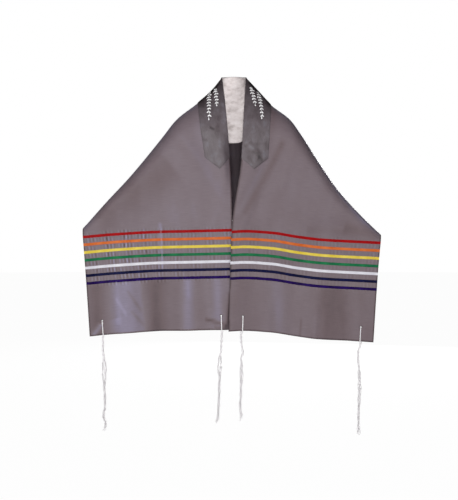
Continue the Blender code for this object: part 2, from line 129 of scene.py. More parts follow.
TURN_COLUMNS = ("across", "slope", "bend", "back_slope", "back_bend")
TURN = [
    (0.000, 45, 0.295, 30, 0.19), (0.045, 33, 0.225, 20, 0.18), (0.100, 20, 0.165, 12, 0.17),
    (0.180, 5, 0.130, 3, 0.16), (0.300, 3, 0.100, 3, 0.14), (0.450, 3, 0.070, 3, 0.10),
    (0.550, 3, 0.052, 3, 0.06),
]
EDGE_COLUMNS = ("along", "x")
EDGE = {
    "left": [(0.070, -0.0425), (0.190, -0.0310), (0.330, -0.0199), (0.490, -0.0091),
             (0.650, -0.0040), (1.030, 0.0097)],
    "right": [(0.063, 0.0466), (0.185, 0.0405), (0.350, 0.0316), (0.410, 0.0280),
              (0.650, -0.0055), (1.030, -0.0181)],
}
HEM_COLUMNS = ("across", "x", "z")
HEM = {
    "left": [(0.000, 0.0097, -0.9440), (0.150, -0.1400, -0.9475), (0.270, -0.2550, -0.9500),
             (0.430, -0.4080, -0.9590), (0.550, -0.5194, -0.9690)],
    "right": [(0.000, -0.0181, -0.9505), (0.050, 0.0300, -0.9480), (0.150, 0.1270, -0.9535),
              (0.250, 0.2240, -0.9690), (0.340, 0.3100, -0.9790), (0.550, 0.5052, -0.9900)],
}
NAPE_SLOPE, NAPE_BEND = 60, 0.20
BACK_SPREAD = 0.89
DRAW_IN = 0.7
LAP = {"left": 0.004, "right": -0.006}
LAP_WIDTH, LAP_FADE_IN = 0.12, 0.5
ROLL_MIDDLE, ROLL_REACH, ROLL_WIDTH = 0.42, 0.17, 0.05
ROLL_BACK, ROLL_SIDE, ROLL_FADE = 0.024, 0.0125, 0.34

# %% [markdown]
# ## Creases
# Taffeta is crisp, so it keeps long soft ridges and troughs. Each is a straight line on the flat
# cloth with a bell-shaped rise across it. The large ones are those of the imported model. The
# small ones add what is seen from a step away, and no two have the same length or depth.

# %% Tables of the creases
CREASE_COLUMNS = ("along_a", "across_a", "along_b", "across_b", "half_width", "depth")
LARGE_CREASES = {
    "left": [
        (0.70, 0.075, 1.06, 0.045, 0.035, 0.007), (0.72, 0.190, 1.06, 0.180, 0.040, 0.008),
        (0.66, 0.300, 1.06, 0.275, 0.032, -0.008), (0.66, 0.410, 1.06, 0.395, 0.045, 0.010),
        (0.70, 0.515, 1.06, 0.500, 0.030, -0.006), (0.30, 0.130, 0.50, 0.050, 0.032, -0.006),
        (0.58, 0.470, 0.62, 0.300, 0.040, -0.007),
    ],
    "right": [
        (0.68, 0.120, 1.06, 0.120, 0.045, 0.008), (0.70, 0.230, 1.06, 0.235, 0.035, -0.007),
        (0.68, 0.330, 1.06, 0.335, 0.045, 0.009), (0.70, 0.450, 1.06, 0.445, 0.038, -0.008),
        (0.28, 0.160, 0.60, 0.040, 0.034, -0.007), (0.60, 0.500, 0.64, 0.320, 0.040, -0.007),
    ],
    "back": [
        (-0.43, 0.44, -0.43, 0.60, 0.030, 0.008), (-0.33, 0.34, -0.33, 0.60, 0.032, -0.010),
        (-0.23, 0.26, -0.24, 0.60, 0.036, 0.012), (-0.13, 0.24, -0.14, 0.60, 0.036, -0.011),
        (-0.04, 0.28, -0.04, 0.60, 0.036, 0.010), (0.05, 0.26, 0.06, 0.60, 0.036, -0.010),
        (0.15, 0.25, 0.16, 0.60, 0.036, 0.012), (0.26, 0.31, 0.26, 0.60, 0.035, -0.011),
        (0.38, 0.40, 0.38, 0.60, 0.032, 0.009),
    ],
}
CREASE_FADE_IN = 0.4
SMALL_CREASES = {
    "left": [
        (0.84, 0.118, 1.05, 0.112, 0.009, 0.0022), (0.86, 0.150, 1.00, 0.146, 0.012, -0.0018),
        (0.86, 0.355, 1.05, 0.338, 0.010, -0.0026), (0.88, 0.375, 1.02, 0.372, 0.008, 0.0017),
        (0.86, 0.440, 1.04, 0.425, 0.011, 0.0024), (0.90, 0.405, 1.00, 0.455, 0.009, -0.0015),
        (0.92, 0.470, 1.05, 0.490, 0.013, 0.0020), (1.05, 0.012, 0.90, 0.024, 0.010, -0.0040),
        (1.04, 0.030, 1.02, 0.075, 0.008, -0.0022), (0.52, 0.330, 0.66, 0.262, 0.012, 0.0020),
        (0.24, 0.150, 0.46, 0.062, 0.016, -0.0020), (0.26, 0.190, 0.52, 0.105, 0.018, 0.0016),
        (0.64, 0.264, 0.84, 0.262, 0.0080, 0.0020),
    ],
    "right": [
        (0.86, 0.345, 1.06, 0.338, 0.007, -0.0030), (0.86, 0.318, 1.04, 0.316, 0.012, 0.0018),
        (0.88, 0.150, 1.05, 0.146, 0.014, 0.0018), (0.88, 0.420, 1.05, 0.425, 0.012, 0.0016),
        (0.30, 0.190, 0.66, 0.052, 0.011, -0.0034), (0.34, 0.150, 0.70, 0.028, 0.010, 0.0022),
        (0.60, 0.330, 0.66, 0.500, 0.016, -0.0028), (0.24, 0.210, 0.50, 0.170, 0.014, 0.0018),
        (0.90, 0.060, 1.05, 0.056, 0.012, -0.0016), (0.88, 0.500, 1.04, 0.512, 0.011, -0.0016),
    ],
    "back": [
        (-0.38, 0.42, -0.37, 0.58, 0.010, 0.0022), (-0.28, 0.36, -0.29, 0.58, 0.012, -0.0022),
        (-0.18, 0.20, -0.19, 0.50, 0.010, 0.0018), (-0.09, 0.30, -0.08, 0.58, 0.012, 0.0024),
        (0.00, 0.16, 0.01, 0.44, 0.012, -0.0018), (0.10, 0.34, 0.11, 0.58, 0.010, 0.0022),
        (0.21, 0.26, 0.20, 0.56, 0.012, -0.0022), (0.32, 0.38, 0.33, 0.58, 0.010, 0.0018),
        (-0.30, 0.16, -0.16, 0.34, 0.016, -0.0022), (0.30, 0.15, 0.17, 0.33, 0.015, -0.0024),
    ],
}

# %% [markdown]
# ## Painted light and shade along the folds
# The taffeta's colour is painted lighter and lilac where light falls on a fold, and darker and
# brown where the fold is in shade. These bands of painted light and shade are long and soft, and
# they follow the folds. So they are rows of the same kind as the creases, with a tone in the place
# of a depth: above 0 for painted light, below 0 for painted shade.

# %% Tables of the painted light and shade
PAINTED_LIGHT_AND_SHADE = {
    "left": [
        (0.834, 0.402, 1.090, 0.386, 0.046, 0.50), (0.834, 0.432, 0.985, 0.436, 0.012, 0.26),
        (0.834, 0.352, 1.090, 0.345, 0.012, 0.20), (0.970, 0.445, 1.090, 0.420, 0.024, 0.30),
        (0.834, 0.286, 1.090, 0.294, 0.036, -0.64), (0.834, 0.216, 1.090, 0.220, 0.040, -0.16),
        (0.834, 0.510, 1.090, 0.520, 0.034, -0.56), (0.834, 0.168, 0.905, 0.168, 0.010, 0.22),
        (0.834, 0.168, 1.090, 0.180, 0.022, 0.40), (0.834, 0.128, 1.060, 0.118, 0.016, -0.16),
        (0.834, 0.064, 1.030, 0.060, 0.016, 0.34), (1.060, 0.034, 0.905, 0.016, 0.008, -0.95),
        (0.988, 0.114, 1.013, 0.030, 0.006, -0.80), (1.018, 0.080, 1.024, 0.020, 0.005, -0.70),
        (0.635, 0.2635, 0.800, 0.262, 0.0065, 0.52),
        (0.670, 0.004, 0.860, 0.004, 0.006, 0.60), (0.430, 0.205, 0.600, 0.465, 0.062, -0.36),
        (0.350, 0.185, 0.450, 0.130, 0.014, -0.10), (0.300, 0.190, 0.555, 0.030, 0.014, 0.07),
        (0.875, 0.395, 0.950, 0.350, 0.006, -0.24), (0.900, 0.440, 0.960, 0.405, 0.006, 0.20),
        (0.950, 0.385, 1.000, 0.345, 0.006, -0.22), (0.990, 0.502, 1.024, 0.532, 0.010, 0.95),
        (0.640, 0.400, 0.650, 0.548, 0.020, -0.08),
    ],
    "right": [
        (0.834, 0.172, 1.090, 0.208, 0.028, 0.28), (0.834, 0.050, 1.090, 0.050, 0.050, -0.20),
        (0.834, 0.385, 1.090, 0.402, 0.064, -0.40), (0.834, 0.505, 1.090, 0.520, 0.030, -0.16),
        (0.960, 0.270, 1.060, 0.266, 0.004, -0.40), (0.940, 0.320, 1.060, 0.320, 0.006, 0.12),
        (0.330, 0.155, 0.600, 0.045, 0.013, -0.34), (0.150, 0.120, 0.330, 0.090, 0.022, -0.30),
        (0.620, 0.410, 0.650, 0.560, 0.022, -0.34), (0.640, 0.270, 0.635, 0.420, 0.015, -0.16),
        (0.380, 0.100, 0.600, 0.020, 0.012, 0.20), (0.250, 0.250, 0.480, 0.200, 0.030, 0.06),
        (0.870, 0.002, 0.990, 0.002, 0.003, 0.70),
    ],
    "back": [
        (-0.43, 0.44, -0.43, 0.60, 0.016, 0.45), (-0.33, 0.34, -0.33, 0.60, 0.018, -0.40),
        (-0.23, 0.24, -0.24, 0.60, 0.018, 0.45), (-0.13, 0.22, -0.14, 0.60, 0.018, -0.40),
        (-0.04, 0.24, -0.04, 0.60, 0.018, 0.36), (0.05, 0.24, 0.06, 0.60, 0.018, -0.36),
        (0.15, 0.24, 0.16, 0.60, 0.018, 0.45), (0.26, 0.30, 0.26, 0.60, 0.018, -0.45),
        (0.38, 0.38, 0.38, 0.60, 0.016, 0.36), (-0.30, 0.16, -0.10, 0.34, 0.030, -0.20),
        (0.30, 0.16, 0.10, 0.34, 0.030, -0.20),
    ],
}
TONE_FADE_IN = 0.07
# Painted light and shade: each whole front a little darker, the right one more; painted light just
# past the fold; painted shade on the line of the fold and along the edges; and on the puckers
SIDE_TONE = {"left": -0.02, "right": -0.15}
TURN_PAINTED_LIGHT = {"left": 0.26, "right": 0.60}
TURN_TONE_SHIFT, TURN_TONE_WIDTH = 0.022, 0.020
TURN_BLEND = 0.06
FOLD_PAINTED_SHADE, FOLD_TONE_WIDTH = -0.60, 0.006
EDGE_PAINTED_SHADE, EDGE_TONE_WIDTH = -1.7, 0.0036
PUCKER_PAINTED_SHADING = 0.60

# %% [markdown]
# ## From tables to a surface
# A monotone cubic joins the rows of a table without overshooting between them. It takes whole
# arrays, so the drape of the cloth is one call for all of its points.

# %% Curves and bells


def smooth(value):
    """Three u squared less two u cubed: a gentle rise from 0 to 1."""
    clipped = np.clip(value, 0.0, 1.0)
    return clipped * clipped * (3 - 2 * clipped)


def rim_distance(along, across, half_length, width):
    """How far a point of a rectangle lies from the nearest of its four edges."""
    return np.minimum(np.minimum(across, width - across), half_length - np.abs(along))


def curve_through(rows, columns, column):
    """A column as a function of the first: cubic pieces with harmonic-mean slopes at the rows."""
    values = np.array(rows, dtype=float)
    xs, ys = values[:, 0], values[:, columns.index(column)]
    steps = np.diff(xs)
    rises = np.diff(ys) / steps
    slopes = np.concatenate(([rises[0]], np.zeros(len(xs) - 2), [rises[-1]]))
    same_way = rises[:-1] * rises[1:] > 0
    total = np.where(same_way, rises[:-1] + rises[1:], 1.0)
    slopes[1:-1] = np.where(same_way, 2 * rises[:-1] * rises[1:] / total, 0.0)

    def curve(where):
        inside = np.clip(where, xs[0], xs[-1])
        place = np.clip(np.searchsorted(xs, inside) - 1, 0, len(steps) - 1)
        u = (inside - xs[place]) / steps[place]
        ends = ys[place] * (1 + 2 * u) * (1 - u) ** 2 + ys[place + 1] * u * u * (3 - 2 * u)
        bent = slopes[place] * u * (1 - u) ** 2 - slopes[place + 1] * u * u * (1 - u)
        return ends + bent * steps[place]

    return curve


def creases(along, across, rows, fade_in):
    """Sum over the lines of depth times exp(-(distance / half width)^2), fading in at one end."""
    total = np.zeros_like(along)
    for row in rows:
        line = dict(zip(CREASE_COLUMNS, row))
        run_along = line["along_b"] - line["along_a"]
        run_across = line["across_b"] - line["across_a"]
        from_along = along - line["along_a"]
        from_across = across - line["across_a"]
        part = (from_along * run_along + from_across * run_across) / (run_along ** 2 + run_across ** 2)
        nearest = np.clip(part, 0, 1)
        away = np.hypot(from_along - nearest * run_along, from_across - nearest * run_across)
        bell = np.exp(-((away / line["half_width"]) ** 2))
        total += line["depth"] * bell * smooth(part / fade_in)
    return total


TURN_AT = {name: curve_through(TURN, TURN_COLUMNS, name) for name in TURN_COLUMNS[1:]}
FOLD_AT = {side: {axis: curve_through(FOLD[side], FOLD_COLUMNS, axis) for axis in "xyz"}
           for side in SIGN}
EDGE_AT = {side: curve_through(EDGE[side], EDGE_COLUMNS, "x") for side in SIGN}
HEM_AT = {side: {axis: curve_through(HEM[side], HEM_COLUMNS, axis) for axis in "xz"}
          for side in SIGN}

# %% [markdown]
# ## The arc and the fold
# An arc that starts at a slope and ends upright goes out by the sine of its angle and down by
# its cosine. The length of cloth from the hem up to the fold follows from the heights of both,
# so the line of the fold on the flat cloth isn't typed in: it is worked out.

# %% The arc and the fold


def hanging(length, slope, bend):
    """Distance out and down along cloth that leaves at slope degrees and turns over bend."""
    start = np.radians(slope)
    turn = math.pi / 2 - start
    angle = start + turn * np.clip(length / bend, 0, 1)
    out = bend / turn * (np.sin(angle) - np.sin(start))
    down = bend / turn * (np.cos(start) - np.cos(angle)) + np.maximum(length - bend, 0)
    return out, down


def fold_along(side, across):
    """Half the cloth's length less the length that hangs from the fold to the hem."""
    bend = TURN_AT["bend"](across)
    _, down = hanging(bend, TURN_AT["slope"](across), bend)
    drop = FOLD_AT[side]["z"](across) - HEM_AT[side]["z"](across)
    return HALF - (drop + bend - down)


FINE_ACROSS = np.linspace(0.0, WIDTH, 240)
FOLD_ALONG = {side: fold_along(side, FINE_ACROSS) for side in SIGN}
NECK = {side: float(FOLD_ALONG[side][0]) for side in SIGN}
print("half of the neck edge:", {side: round(value, 3) for side, value in NECK.items()})


def fold_at(side, across):
    """Where the fold lies along the cloth, by straight lines between the fine places."""
    return np.interp(across, FINE_ACROSS, FOLD_ALONG[side])


def on_side(side, along):
    """True on one side of the cloth's middle line, which itself counts as the right side."""
    return (along < 0) == (side == "left")


def hang_front(side, along, across):
    """The front: out and down from the fold, drawn in to the hem, with its own creases."""
    top = fold_at(side, across)
    bend = TURN_AT["bend"](across)
    below = np.maximum(along - top, 0)
    out, down = hanging(below, TURN_AT["slope"](across), bend)
    y = FOLD_AT[side]["y"](across) - out
    z = FOLD_AT[side]["z"](across) - down
    part = np.clip(below / (HALF - top), 0, 1)
    at_fold = FOLD_AT[side]["x"](across) - EDGE_AT[side](top)
    at_hem = HEM_AT[side]["x"](across) - EDGE_AT[side](np.full_like(top, HALF))
    eased = part ** DRAW_IN
    x = EDGE_AT[side](along) + at_fold * (1 - eased) + at_hem * eased
    settled = smooth(below / bend)
    y = y - settled * creases(along, across, LARGE_CREASES[side], CREASE_FADE_IN)
    y = y - settled * creases(along, across, SMALL_CREASES[side], CREASE_FADE_IN)
    y = y + LAP[side] * smooth(1 - across / LAP_WIDTH) * smooth(part / LAP_FADE_IN)
    if side == "left":
        near = smooth(1 - np.abs(along - ROLL_MIDDLE) / ROLL_REACH)
        y = y + ROLL_BACK * near * np.clip(1 - across / ROLL_WIDTH, 0, 1) ** 2
        x = x + ROLL_SIDE * near * smooth(across / ROLL_WIDTH) * smooth(1 - across / ROLL_FADE)
    return np.stack([x, y, z], axis=-1)


def hang_back(side, along, across):
    """The back: from the fold, or from the arc of the nape, out behind and down to its hem."""
    turn = math.pi / 2 * np.clip(along / NECK[side], 0, 1)
    neck_x, neck_y, neck_z = (FOLD_AT[side][axis](np.zeros(1))[0] for axis in "xyz")
    first = np.interp(along, FOLD_ALONG[side], FINE_ACROSS)
    nape = along < NECK[side]
    start_x = np.where(nape, neck_x * np.sin(turn), FOLD_AT[side]["x"](first))
    start_y = np.where(nape, neck_y * (1 - np.cos(turn)), FOLD_AT[side]["y"](first))
    start_z = np.where(nape, neck_z * np.sin(turn) ** 2, FOLD_AT[side]["z"](first))
    beside = smooth(along / NECK[side])
    slope = NAPE_SLOPE + (TURN_AT["back_slope"](first) - NAPE_SLOPE) * beside
    bend = NAPE_BEND + (TURN_AT["back_bend"](first) - NAPE_BEND) * beside
    below = np.maximum(across - first, 0)
    out, down = hanging(below, slope, bend)
    part = below / (WIDTH - np.minimum(first, WIDTH - bend))
    x = start_x + (SIGN[side] * BACK_SPREAD * along - start_x) * smooth(part)
    level = SIGN[side] * along
    settled = smooth(below / bend)
    y = start_y + out + settled * creases(level, across, LARGE_CREASES["back"], CREASE_FADE_IN)
    y = y + settled * creases(level, across, SMALL_CREASES["back"], CREASE_FADE_IN)
    return np.stack([x, y, start_z - down], axis=-1)


def hang(along, across):
    """A point of the flat cloth goes to the front below its side's fold, else to the back."""
    distance = np.abs(along)
    placed = np.zeros(along.shape + (3,))
    for side in SIGN:
        front = hang_front(side, distance, across)
        back = hang_back(side, distance, across)
        chosen = np.where((distance >= fold_at(side, across))[..., None], front, back)
        placed = np.where(on_side(side, along)[..., None], chosen, placed)
    return placed


# %% [markdown]
# ## Softening the fold, and the puckers
# Cloth never folds to a knife edge. The drape is worked out once on an even net over the flat
# cloth, each knot of the net is averaged with its neighbours, and every piece then reads its
# points from that net by cubic interpolation. Where ribbons are sewn across taffeta the thread
# draws it up, and short upright puckers stand between the rows. They are a sum of waves whose
# phase drifts, under a slow envelope.

# %% The whole drape
NET_ALONG, NET_ACROSS = 521, 141
NET_STEP = (LENGTH / (NET_ALONG - 1), WIDTH / (NET_ACROSS - 1))
SOFTENINGS = 6
PUCKER_HEIGHT = 0.00085
# A wave by its length, phase and share; a drift by its size and its turn for a row and a metre
PUCKER_WAVES = ((0.0128, 0.0, 1.0), (0.0161, 1.7, 0.55), (0.0290, 0.6, 0.35))
PUCKER_DRIFT = ((1.3, 0.45, 11.0), (0.6, 0.95, -27.0))
PUCKER_MIDDLE, PUCKER_REACH = 0.39, 0.12
PUCKER_FADE = 0.014
# Shares of the full height: under a ribbon, far from the left front's middle, on the right front
UNDER_RIBBON, FAR_LEFT, ON_RIGHT = 0.30, 0.38, 0.22
CLUSTERS = ((61, 2.1), (23, -1.4))
CLUSTER_LEVEL, CLUSTER_SWING, CLUSTER_FLOOR = 0.62, 0.70, 0.15
RIBBON_TOP = HALF - TOP_RIBBON - RIBBON_WIDTH / 2
RIBBON_END = RIBBON_TOP + (len(RIBBONS) - 1) * RIBBON_PITCH + RIBBON_WIDTH


def softened(net):
    """Each inner knot becomes a quarter of both neighbours and half of itself, both ways."""
    net = net.copy()
    net[1:-1] = net[:-2] / 4 + net[1:-1] / 2 + net[2:] / 4
    net[:, 1:-1] = net[:, :-2] / 4 + net[:, 1:-1] / 2 + net[:, 2:] / 4
    return net


net_places = np.meshgrid(np.linspace(-HALF, HALF, NET_ALONG), np.linspace(0, WIDTH, NET_ACROSS),
                         indexing="ij")
net = hang(*net_places)
for turn in range(SOFTENINGS):
    net = softened(net)
net_facing = np.cross(np.gradient(net, axis=0), np.gradient(net, axis=1))
net_facing /= np.linalg.norm(net_facing, axis=-1, keepdims=True)
# One row more on every side, by straight continuation, so that a cubic fits up to the edge
net_facing = np.pad(net_facing, ((1, 1), (1, 1), (0, 0)), mode="edge")
net = np.pad(net, ((1, 1), (1, 1), (0, 0)), mode="reflect", reflect_type="odd")


def cubic_shares(part):
    """Catmull-Rom shares of four neighbours for a place part of the way from second to third."""
    square, cube = part ** 2, part ** 3
    return (-part + 2 * square - cube, 2 - 5 * square + 3 * cube,
            part + 4 * square - 3 * cube, cube - square)


def read_net(values, along, across):
    """The net's values between its knots: cubic shares along times cubic shares across."""
    row = (along + HALF) / NET_STEP[0]
    column = across / NET_STEP[1]
    first_row = np.clip(row.astype(int), 0, NET_ALONG - 2)
    first_column = np.clip(column.astype(int), 0, NET_ACROSS - 2)
    total = 0.0
    for down, row_share in enumerate(cubic_shares(row - first_row)):
        for over, column_share in enumerate(cubic_shares(column - first_column)):
            share = (row_share * column_share / 4)[..., None]
            total = total + share * values[first_row + down, first_column + over]
    return total


def puckers(along, across):
    """Waves across the cloth, in clusters, high half-way between ribbons and low under each."""
    distance = np.abs(along)
    zone = smooth((distance - RIBBON_TOP + PUCKER_FADE) / PUCKER_FADE)
    zone = zone * smooth((RIBBON_END + PUCKER_FADE - distance) / PUCKER_FADE)
    row = (distance - RIBBON_TOP - RIBBON_WIDTH / 2) / RIBBON_PITCH
    between = UNDER_RIBBON + (1 - UNDER_RIBBON) * np.sin(math.pi * row) ** 2
    drift = sum(size * np.sin(down * row + over * across) for size, down, over in PUCKER_DRIFT)
    waves = np.zeros_like(across)
    for length, phase, share in PUCKER_WAVES:
        waves += share * np.sin(2 * math.pi * across / length + phase + drift)
    first, second = (over * across + down * row for over, down in CLUSTERS)
    clusters = CLUSTER_FLOOR + smooth(CLUSTER_LEVEL + CLUSTER_SWING * np.sin(first) * np.cos(second))
    from_middle = (across - PUCKER_MIDDLE) / PUCKER_REACH
    strong = FAR_LEFT + (1 - FAR_LEFT) * np.exp(-(from_middle ** 2))
    side = np.where(along < 0, strong, ON_RIGHT)
    return PUCKER_HEIGHT * side * zone * between * clusters * waves


def painted_shading(along, across):
    """Half, plus half the sum of all tones: 0 for the deepest painted shade, 1 for the brightest
    painted light.

    Each side's own tones take over from those of the back over a short stretch at the fold. The
    fold and the edges add bells of painted shade, the turn past the fold a bell of painted light,
    and the puckers add painted light and shade by their height.
    """
    distance = np.abs(along)
    back = creases(along, across, PAINTED_LIGHT_AND_SHADE["back"], TONE_FADE_IN)
    total = np.zeros_like(across)
    for side in SIGN:
        past = distance - fold_at(side, across)
        front = creases(distance, across, PAINTED_LIGHT_AND_SHADE[side], TONE_FADE_IN) + SIDE_TONE[side]
        share = smooth((past + TURN_BLEND / 2) / TURN_BLEND)
        from_turn = (past - TURN_TONE_SHIFT) / TURN_TONE_WIDTH
        turned = FOLD_PAINTED_SHADE * np.exp(-((past / FOLD_TONE_WIDTH) ** 2))
        turned += TURN_PAINTED_LIGHT[side] * np.exp(-(from_turn ** 2))
        total = np.where(on_side(side, along), back + (front - back) * share + turned, total)
    edge = rim_distance(along, across, HALF, WIDTH)
    total = total + EDGE_PAINTED_SHADE * np.exp(-((edge / EDGE_TONE_WIDTH) ** 2))
    total = total + PUCKER_PAINTED_SHADING * puckers(along, across) / PUCKER_HEIGHT
    return np.clip(0.5 + total / 2, 0, 1)


def cloth_at(along, across, off=0.0):
    """Points on the net, moved out along the cloth's facing by the puckers and by off."""
    along, across = np.broadcast_arrays(np.asarray(along, float), np.asarray(across, float))
    facing = read_net(net_facing, along, across)
    facing /= np.linalg.norm(facing, axis=-1, keepdims=True)
    lift = (puckers(along, across) + off)[..., None]
    return read_net(net, along, across) + facing * lift, facing


sample, _ = cloth_at(np.array([-HALF, 0.0, HALF]), np.array([0.0, WIDTH, WIDTH]))
print("left front corner, back hem's middle, right arm's corner:", sample.round(3).tolist())

# %% [markdown]
# ## Materials
# Each finish is named for the real cloth or thread. One function turns sRGB hex into linear
# values, and one adds a node with its settings, its links and the stops of a colour ramp. The
# patterns read the piece's own UV map, which holds the flat cloth in metres, so a thread's size
# can be given in millimetres. A colour mix takes its share at socket 0 and its colours at 6 and
# 7, and gives the result at 2.

# %% Colours and nodes
MILLIMETRE = 0.001


def linear(code, share=1.0):
    """sRGB hex to linear: c over 12.92 near black, else ((c + 0.055) / 1.055)^2.4, times share."""
    shown = [int(code[place:place + 2], 16) / 255 for place in (0, 2, 4)]
    light = [c / 12.92 if c <= 0.04045 else ((c + 0.055) / 1.055) ** 2.4 for c in shown]
    return [share * value for value in light] + [1.0]


def add_node(tree, kind, inputs=None, stops=(), **settings):
    """One node: settings by name, each input a value or another node's output, a ramp's stops."""
    made = tree.nodes.new(kind)
    for name, value in settings.items():
        setattr(made, name, value)
    for name, value in (inputs or {}).items():
        if isinstance(value, bpy.types.NodeSocket):
            tree.links.new(value, made.inputs[name])
        else:
            made.inputs[name].default_value = value
    for number, (position, code) in enumerate(stops):
        elements = made.color_ramp.elements
        if number == 0:
            elements.remove(elements[1])
        element = elements.new(position) if number else elements[0]
        element.position, element.color = position, linear(code)
    return made


def new_finish(name, **fixed):
    """A material whose Principled shader has the fixed values on its own sockets, and its tree."""
    finish = bpy.data.materials.new(name)
    finish.use_nodes = True
    shader = finish.node_tree.nodes["Principled BSDF"]
    for socket, value in fixed.items():
        shader.inputs[socket.replace("_", " ")].default_value = value
    return finish, finish.node_tree


def completed(finish, colour, relief):
    """The finish with its colour and its relief linked to its shader."""
    shader = finish.node_tree.nodes["Principled BSDF"]
    finish.node_tree.links.new(colour, shader.inputs["Base Color"])
    finish.node_tree.links.new(relief.outputs["Normal"], shader.inputs["Normal"])
    return finish


def stretched_noise(tree, place, per_metre, detail=2.0, roughness=0.5):
    """Noise whose grain is longer one way: the place is first scaled by per_metre."""
    scaled = add_node(tree, "ShaderNodeVectorMath", {0: place, 1: per_metre}, operation="MULTIPLY")
    inputs = {"Vector": scaled.outputs[0], "Scale": 1.0, "Detail": detail, "Roughness": roughness}
    return add_node(tree, "ShaderNodeTexNoise", inputs).outputs["Fac"]


def woven_threads(tree, place, thread):
    """Threads over and under: the product of two sines, one along and one across the cloth."""
    turns = math.pi / thread
    scaled = add_node(tree, "ShaderNodeVectorMath", {0: place, 1: (turns, turns, 0)},
                      operation="MULTIPLY")
    apart = add_node(tree, "ShaderNodeSeparateXYZ", {0: scaled.outputs[0]})
    along = add_node(tree, "ShaderNodeMath", {0: apart.outputs["X"]}, operation="SINE")
    across = add_node(tree, "ShaderNodeMath", {0: apart.outputs["Y"]}, operation="SINE")
    both = {0: along.outputs[0], 1: across.outputs[0]}
    return add_node(tree, "ShaderNodeMath", both, operation="MULTIPLY").outputs[0]


def shaded_by(tree, colour, pattern, *stops):
    """The colour times a grey ramp over a pattern, as grain and slubs shade a cloth."""
    greys = add_node(tree, "ShaderNodeValToRGB", {"Fac": pattern}, stops)
    return add_node(tree, "ShaderNodeMix", {0: 1.0, 6: colour, 7: greys.outputs["Color"]},
                    data_type="RGBA", blend_type="MULTIPLY")


# %% [markdown]
# ### Taffeta
# The body is changeant taffeta: fine plain weave with a lilac warp and a mauve-brown weft. Its
# colour is painted from dark brown in shade to light lilac in light by the tone. Slubs run across
# it. Its real threads are 0.25 mm, too fine for the picture, so the weave is drawn at 0.9 mm. The
# sheen is soft and bluish.

# %% Taffeta
DRAWN_THREAD = 0.9 * MILLIMETRE
PATCH_SHARE = 0.24


def changeant_taffeta():
    """The attribute tone holds painted light and shade along the folds, and patches of noise break it
    up a little.
    """
    finish, tree = new_finish(
        "changeant_taffeta", Roughness=0.55, Specular_IOR_Level=0.25, Sheen_Weight=0.06,
        Sheen_Roughness=0.45, Sheen_Tint=linear("b9bde0"))
    place = add_node(tree, "ShaderNodeUVMap", uv_map="flat").outputs["UV"]
    # The tone attribute holds painted light and shade: high for painted light, low for painted shade
    lean = add_node(tree, "ShaderNodeAttribute", attribute_name="tone").outputs["Fac"]
    patches = stretched_noise(tree, place, (7.0, 16.0, 1.0), detail=2.5)
    drift = add_node(tree, "ShaderNodeMath", {0: patches, 1: PATCH_SHARE, 2: -PATCH_SHARE / 2},
                     operation="MULTIPLY_ADD").outputs[0]
    shade_and_patches = add_node(tree, "ShaderNodeMath", {0: lean, 1: drift}, operation="ADD").outputs[0]
    # The ramp paints shade dark brown and light pale lilac
    threads = add_node(tree, "ShaderNodeValToRGB", {"Fac": shade_and_patches},
                       stops=((0.0, "4c3f43"), (0.25, "6f5f63"), (0.5, "7e7178"),
                              (0.75, "8b8295"), (1.0, "a39cb8")))
    slubs = stretched_noise(tree, place, (900.0, 26.0, 1.0), detail=3.0)
    colour = shaded_by(tree, threads.outputs["Color"], slubs, (0.25, "e6e6e6"), (0.75, "ffffff"))
    weave = add_node(tree, "ShaderNodeBump", {"Height": woven_threads(tree, place, DRAWN_THREAD),
                                              "Distance": 0.05 * MILLIMETRE})
    relief = add_node(tree, "ShaderNodeBump", {"Height": slubs, "Distance": 0.12 * MILLIMETRE,
                                               "Normal": weave.outputs["Normal"]})
    return completed(finish, colour.outputs[2], relief)


taffeta = changeant_taffeta()
print("finish", taffeta.name)

# %% [markdown]
# ### Satin
# Ribbons and neckband are polyester satin: long floats lie side by side and shine in lines
# along them. Fine streaks in colour and bump give that grain, and the gloss is low and broad.
# A ribbon's two selvedges are woven tighter, so they are a little darker, and a painted highlight
# turns it pale where the cloth under it leans to the light. The neckband is darker round the neck
# than on its ends, from painted shade.

# %% Satins
RIBBON_COLOURS = {
    "red": ("960208", "aa080e"), "orange": ("ca6029", "e07a41"), "yellow": ("dcc03f", "efda62"),
    "green": ("165f3e", "24804f"), "white": ("d8d6e0", "eeedf4"), "navy": ("06072a", "121544"),
    "purple": ("16013a", "26055e"),
}
SELVEDGE_START, SELVEDGE_END, SELVEDGE_SHADE = 0.44, 0.49, 0.88
# Painted highlight: a ribbon goes pale where the painted tone under it is high
PAINTED_SHINE_START, PAINTED_SHINE_END, PAINTED_SHINE_SHARE = 0.66, 0.90, 0.25
# The neckband's painted shade at the neck gives way to its lighter ramp between these distances
LOWER_BAND_START, LOWER_BAND_END = 0.11, 0.27


